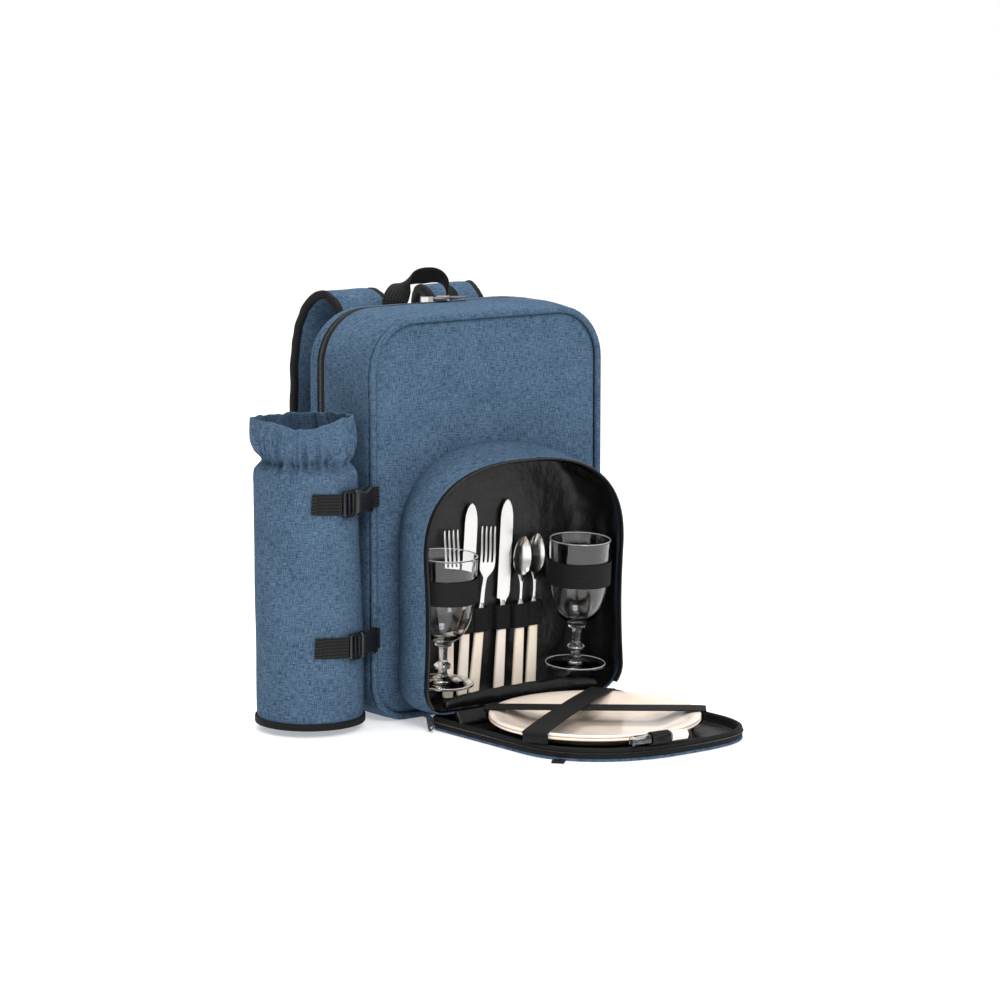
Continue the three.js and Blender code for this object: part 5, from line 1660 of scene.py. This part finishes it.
@dataclass
class BottlePouch:
    """The bottle pouch on the body's side, drawn in at its neck, with its two buckled webbings."""

    body: MainBody
    radius: float = 51.5
    height: float = 294.0
    bottom: float = 8.0
    y: float = -34.0
    wall: float = 2.0
    lean: float = 5.0
    webbing: float = 20.0
    tape: float = 1.5
    web_start: float = -117.0
    rise: float = 1.5
    plug: float = 17.0
    socket: float = 29.0
    lead: float = 13.0
    lift: float = 3.3
    tip: float = 6.0
    gathers: float = 5.6
    puckers: float = 3.4
    crinkles: float = 8.5
    ruffles: float = 1.8
    dents: float = 1.5
    neck: float = 0.858
    facing: float = 237.0
    profile: tuple[tuple[float, float], ...] = (
        (0.0, 0.95), (0.012, 0.995), (0.05, 1.0), (0.3, 1.0), (0.62, 0.978), (0.76, 0.97), (0.8, 0.955),
        (0.828, 0.915), (0.845, 0.82), (0.857, 0.71), (0.868, 0.76), (0.888, 0.87), (0.925, 0.93),
        (0.965, 0.92), (1.0, 0.9),
    )

    @property
    def x(self) -> float:
        """The pouch's middle."""
        return -(self.body.half + self.body.side_bulge * self.body.swell(self.y) + SOFT_GAP + self.radius)

    def reach(self, share: float) -> float:
        """The pouch's radius at a height, as a share of its largest."""
        for (low, a), (high, b) in zip(self.profile, self.profile[1:]):
            if share <= high:
                t = (share - low) / (high - low)
                return lerp(a, b, t * t * (3 - 2 * t))
        return self.profile[-1][1]

    def point(self, share: float, angle: float) -> Point:
        """A point of the pouch's cloth.

        Args:
            share: Its height's share.
            angle: Its direction round the pouch.

        Returns:
            The point.
        """
        ca, sa = math.cos(angle), math.sin(angle)
        gather = max(0.0, 1 - abs(share - self.neck) / (0.085 if share < self.neck else 0.3)) ** 1.3
        ruffle = max(0.0, min((share - self.neck) / 0.05, 1.0))
        folds = crumple((3.6 * ca, 3.6 * sa, 3.2 * share), 1.0, 7.0)
        fine = crumple((6.5 * ca, 6.5 * sa, 5.0 * share), 1.0, 13.0)
        soft = crumple((1.4 * ca, 1.4 * sa, 4.0 * share), 1.0, 23.0)
        reach = self.radius * self.reach(share) + self.gathers * gather * folds
        reach += self.puckers * gather * fine
        reach += self.ruffles * ruffle * folds
        reach += self.crinkles * gather**2 * crumple((14 * ca, 14 * sa, 6.0 * share), 1.0, 43.0)
        reach += self.dents * soft * min(share * 6, 1.0)
        front = math.cos(angle - math.radians(self.facing))
        side = math.sin(angle - math.radians(self.facing))
        flat = ruffle * max(0.0, (share - 0.88) / 0.12)
        along = reach * (1 - 0.24 * flat * abs(front))
        dip = -8.0 * max(0.0, front - 0.72) / 0.28 + 3.0 * abs(side) ** 3
        dip += 1.5 * max(0.0, -front)
        dip -= 2.5 * max(0.0, -side) ** 2
        along += self.tip * flat * max(0.0, math.cos(angle - math.radians(170))) ** 6
        z = self.bottom + self.height * share + flat * dip * 0.85
        z += 5.0 * gather * crumple((5.0 * ca, 5.0 * sa, 0), 1.0, 29.0)
        return (self.x - self.lean * share**2 + along * ca, self.y + along * sa, z)

    def cloth(self) -> None:
        """The pouch's shell with its gathers, and the binding round its foot."""
        rows = [0.0, 0.008, 0.03, 0.08, 0.15, 0.22, 0.3, 0.38, 0.46, 0.54, 0.61, 0.67, 0.72, 0.76, 0.785,
                0.805, 0.82, 0.832, 0.842, 0.85, 0.858, 0.866, 0.875, 0.886, 0.9, 0.915, 0.93, 0.947,
                0.965, 0.983, 1.0]
        rings = [[self.point(share, 2 * math.pi * i / 176) for i in range(176)] for share in rows]
        shell = loft(rings, start=(self.x, self.y, self.bottom))
        sewn("pouch_cloth", "pouch_shell", shell, 0.7 * self.wall)
        low = self.bottom - 1
        section = [(0.3, 0), (1.6, 0.3), (1.9, 1.2), (1.9, 5.8), (1.6, 6.7), (0.3, 7.0)]
        rings = [[(self.x + (self.radius + out) * math.cos(2 * math.pi * i / 120),
                   self.y + (self.radius + out) * math.sin(2 * math.pi * i / 120),
                   low + up) for i in range(120)]
                 for out, up in [*section, section[0]]]
        Make("binding", "black_webbing", ["pouch_binding"]).piece("pouch_foot_binding", loft(rings))

    def course(self, z: float) -> Course:
        """The webbing's course at a height, round the pouch to a tangent point, then straight on."""
        gap = self.body.piping_radius
        seam = (-(self.body.half - 1.6 * gap - SEAM_GAP), self.body.front - gap - SEAM_GAP - self.tape)
        share = (z - self.bottom) / self.height
        centre = (self.x - self.lean * share**2, self.y)
        radius = self.radius * self.reach(share) + 2 * SEAM_GAP
        away = (seam[0] - centre[0], seam[1] - centre[1])
        angle = math.atan2(away[1], away[0]) - math.acos(radius / math.hypot(*away))
        tangent = Vector((centre[0] + radius * math.cos(angle), centre[1] + radius * math.sin(angle), z))
        end = Vector((*seam, z))
        return Course(centre, radius, math.degrees(angle), tangent, end, (end - tangent).normalized())

    def webs(self) -> None:
        """Both webbings with their buckles."""
        for name, z in (("upper", 224.0), ("lower", 86.0)):
            c = self.course(z)
            radius = c.radius
            stop = c.angle - math.degrees((self.lead + 3 * SOFT_GAP) / radius)
            turn = arc(c.centre, radius + 0.3, self.web_start, stop, 28)
            path = [(x, y, z + self.rise * (1 - i / 28)) for i, (x, y) in enumerate(turn[:-3])]
            outward = Vector((c.way.y, -c.way.x, 0))
            path.append(tuple(c.tangent - c.way * (self.lead + 0.4) + outward * (self.lift - self.tape)))
            tape = swept(stations(path, UP), tape_section(self.webbing, self.tape, columns=8))
            hem = swept(stations(path[:7], UP), tape_section(self.webbing - 0.6, 1.3, self.tape, columns=8))
            Make("webbing", "black_webbing", [f"pouch_web_{name}"]).piece(f"pouch_tape_{name}",
                                                                          merged([tape, hem]))
            start = c.tangent + c.way * (self.plug + self.socket - self.lead + 2 * SEAM_GAP)
            run = [start.lerp(c.end, i / 6) for i in range(7)]
            tape = swept(stations(run, UP), tape_section(self.webbing, self.tape, columns=8))
            Make("webbing", "black_webbing", [f"anchor_web_{name}"]).piece(f"anchor_tape_{name}", tape)
            for part in ("plug", "socket"):
                node = f"buckle_{part}_{name}"
                Make("black_buckle", "buckle_plastic", [node], bevel=0.9, sharp=50).piece(f"{node}_part",
                                                                                          from_node(node))

    def build(self) -> None:
        """Builds and dresses the pouch and its webbings."""
        self.cloth()
        self.webs()


@dataclass
class GrabHandle:
    """The ribbed webbing handle over the top seam."""

    body: MainBody
    width: float = 25.0
    thickness: float = 2.4
    left: float = -41.0
    right: float = 27.0
    y: float = 41.0
    rise: float = 34.0
    sink: float = 0.8
    rows: tuple[tuple[float, float], ...] = (
        (-0.5, 0), (-0.5, 0.1), (-0.45, 0.3), (-0.395, 0.5), (-0.32, 0.73), (-0.21, 0.92), (-0.08, 1),
        (0.08, 1),
        (0.21, 0.92), (0.32, 0.73), (0.395, 0.5), (0.45, 0.3), (0.5, 0.1), (0.5, 0),
    )

    def build(self) -> None:
        """Builds and dresses the handle."""
        foot = self.body.height + self.body.top_bulge * self.body.swell(self.y) - self.sink
        middle = (self.left + self.right) / 2
        path, widths = [], []
        for across, up in self.rows:
            along = middle + across * (self.right - self.left)
            path.append((along, self.y, foot + up * (self.rise - self.width * 0.34)))
            turn = (1 - up) ** 0.7
            widths.append(Vector((0.94 * math.copysign(turn, across), lerp(0.73, 0.34, turn),
                                  -0.68 * (1 - turn))))
        fine = spline(path, 5)
        turns = [w.normalized() for w in spline(widths, 5)]
        band = swept(stations(fine, turns), tape_section(self.width, self.thickness, columns=10))
        Make("webbing", "black_webbing", ["grab_handle"]).piece("grab_handle_webbing", band)


@dataclass
class ShoulderStraps:
    """Padded straps with black bound edges, their ladder locks and lower webbings."""

    body: MainBody
    width: float = 64.0
    thickness: float = 10.0
    root_x: float = 57.0
    reach: float = 66.0
    lock: float = 22.0
    webbing: float = 20.0
    tape: float = 1.5
    binding: float = 7.0
    rows: tuple[tuple[float, float, float], ...] = (
        (0.1, 0.905, 0), (0.115, 0.955, 0), (0.2, 0.987, 0), (0.36, 1.01, 0.015), (0.56, 1.018, 0.045),
        (0.76, 1.002, 0.106), (0.9, 0.968, 0.167), (0.98, 0.917, 0.227), (1.0, 0.85, 0.273),
        (0.99, 0.74, 0.303),
        (0.93, 0.63, 0.348), (0.82, 0.53, 0.41), (0.684, 0.444, 0.455),
    )

    def path(self, side: int) -> list[Point]:
        """The middle of a strap from its root to its lower end."""
        return [(side * (self.root_x + aside * self.reach), self.body.rear + back * self.reach,
                 height * self.body.height)
                for back, height, aside in self.rows]

    def pad(self, name: str, side: int) -> None:
        """One strap's pad and the binding along both of its edges."""
        places = stations(spline(self.path(side), 7), (1, 0, 0))
        half, thick = self.width / 2, self.thickness / 2
        rings = []
        edges: dict[int, list[Vector]] = {-1: [], 1: []}
        for i, s in enumerate(places):
            ring = []
            waves = {way: 1.1 * crumple((i * 4.2, way * 9, side), 13.0, 81.0) for way in (-1, 1)}
            for k in range(30):
                t = 2 * math.pi * k / 30
                c, d = math.cos(t), math.sin(t)
                a = (half - 1) * math.copysign(abs(c) ** 0.6, c) + waves[1 if c > 0 else -1] * abs(c)
                b = thick * math.copysign(abs(d) ** 0.6, d) * (1 - 0.35 * abs(c) ** 6)
                b += 0.5 * crumple((a, i * 4.2, b), 22.0, 91.0)
                ring.append(tuple(s.point + s.side * a + s.outward * b))
            rings.append(ring)
            for way in (-1, 1):
                edges[way].append(s.point + s.side * (way * (half - self.binding / 2 + 0.4) + waves[way]))
        pad = Make("melange_cloth", "blue_cloth", [f"shoulder_strap_{name}"], smoothing=1).piece(
            f"strap_pad_{name}", loft(rings, flat=True))
        section = [(x, y) for x, y in ((math.copysign(abs(math.cos(t)) ** 0.7,
                                                      math.cos(t)) * self.binding / 2,
                                        math.copysign(abs(math.sin(t)) ** 0.7, math.sin(t)) * (thick - 0.4))
                                       for t in (2 * math.pi * k / 16 for k in range(16)))]
        bound = []
        for way in (-1, 1):
            own = [Station(p, s.side, s.outward) for p, s in zip(edges[way], places)]
            bound.append(swept(own, section))
        Make("binding", "black_webbing").piece(f"strap_binding_{name}", merged(bound))

    def build(self) -> None:
        """Builds and dresses both straps."""
        for name, side in (("left", -1), ("right", 1)):
            self.pad(name, side)
            end = Vector(self.path(side)[-1])
            corner = Vector((side * (self.body.half - self.body.bottom_radius - self.webbing / 2),
                             self.body.rear + 0.1 * self.body.back_bulge + SOFT_GAP + self.tape,
                             self.body.bottom_radius))
            way = (corner - end).normalized()
            start = end + way * (0.5 * self.thickness + self.lock + SEAM_GAP)
            tape = swept(stations([start.lerp(corner, i / 12) for i in range(13)], (1, 0, 0)),
                         tape_section(self.webbing, self.tape, columns=8))
            Make("webbing", "black_webbing", [f"strap_web_{name}"]).piece(f"strap_tape_{name}", tape)
            node = f"ladder_lock_{name}"
            Make("black_buckle", "buckle_plastic", [node], bevel=0.7).piece(f"{node}_part", from_node(node))


@dataclass
class Studio:
    """The camera at the photograph's angle, the white floor and the soft lights."""

    eye: Point = (-2.0422, -2.8916, 0.76)
    target: Point = (0.015, -0.06, 0.206)
    lens: float = 129.546
    sensor: float = 36.0
    floor_reach: float = 70.0
    sky: float = 0.75
    aim: Point = (0.0, -0.1, 0.2)
    lights: tuple[tuple[str, Point, float, float], ...] = (
        ("key", (-0.8, -2.5, 2.1), 1.4, 56.0),
        ("top", (0.1, 0.5, 2.4), 1.6, 44.0),
    )

    def camera(self) -> None:
        """Places the camera."""
        data = bpy.data.cameras.new("camera")
        data.lens = self.lens
        data.sensor_width = self.sensor
        data.clip_end = 2 * self.floor_reach
        camera = bpy.data.objects.new("camera", data)
        bpy.context.scene.collection.objects.link(camera)
        camera.location = self.eye
        camera.rotation_euler = (Vector(self.target) - Vector(self.eye)).to_track_quat("-Z", "Y").to_euler()
        bpy.context.scene.camera = camera

    def light(self, name: str, place: Point, size: float, power: float, aim: Point) -> None:
        """Adds one soft area light.

        Args:
            name: Its name.
            place: Where it stands.
            size: Its width.
            power: Its power in watts.
            aim: What it points at.
        """
        data = bpy.data.lights.new(name, "AREA")
        data.size = size
        data.energy = power
        lamp = bpy.data.objects.new(name, data)
        bpy.context.scene.collection.objects.link(lamp)
        lamp.location = place
        lamp.rotation_euler = (Vector(aim) - Vector(place)).to_track_quat("-Z", "Y").to_euler()

    def build(self) -> None:
        """Builds the floor, the sky and the lights."""
        bm = bmesh.new()
        bmesh.ops.create_grid(bm, x_segments=1, y_segments=1, size=self.floor_reach)
        mesh = bpy.data.meshes.new("floor")
        bm.to_mesh(mesh)
        bm.free()
        floor = bpy.data.objects.new("floor", mesh)
        bpy.context.scene.collection.objects.link(floor)
        mesh.materials.append(MATERIALS["studio_white"])
        world = bpy.data.worlds.new("studio")
        world.use_nodes = True
        background = world.node_tree.nodes["Background"]
        background.inputs["Color"].default_value = (1.0, 1.0, 1.0, 1.0)
        background.inputs["Strength"].default_value = self.sky
        bpy.context.scene.world = world
        bpy.context.scene.view_settings.view_transform = "Standard"
        for name, place, size, power in self.lights:
            self.light(name, place, size, power, self.aim)


def main() -> None:
    """Builds the studio and the pack."""
    logging.basicConfig(level=logging.INFO, format="%(name)s %(message)s")
    studio = Studio()
    studio.camera()
    body = MainBody()
    pocket = FrontPocket(body)
    flap = FoldedFlap(pocket)
    cutlery = Cutlery(pocket)
    for assembly in (body, pocket, flap, cutlery, Goblets(cutlery), PlateTray(flap), BottlePouch(body),
                     GrabHandle(body),
                     ShoulderStraps(body)):
        assembly.build()
    studio.build()


if __name__ == "__main__":
    main()
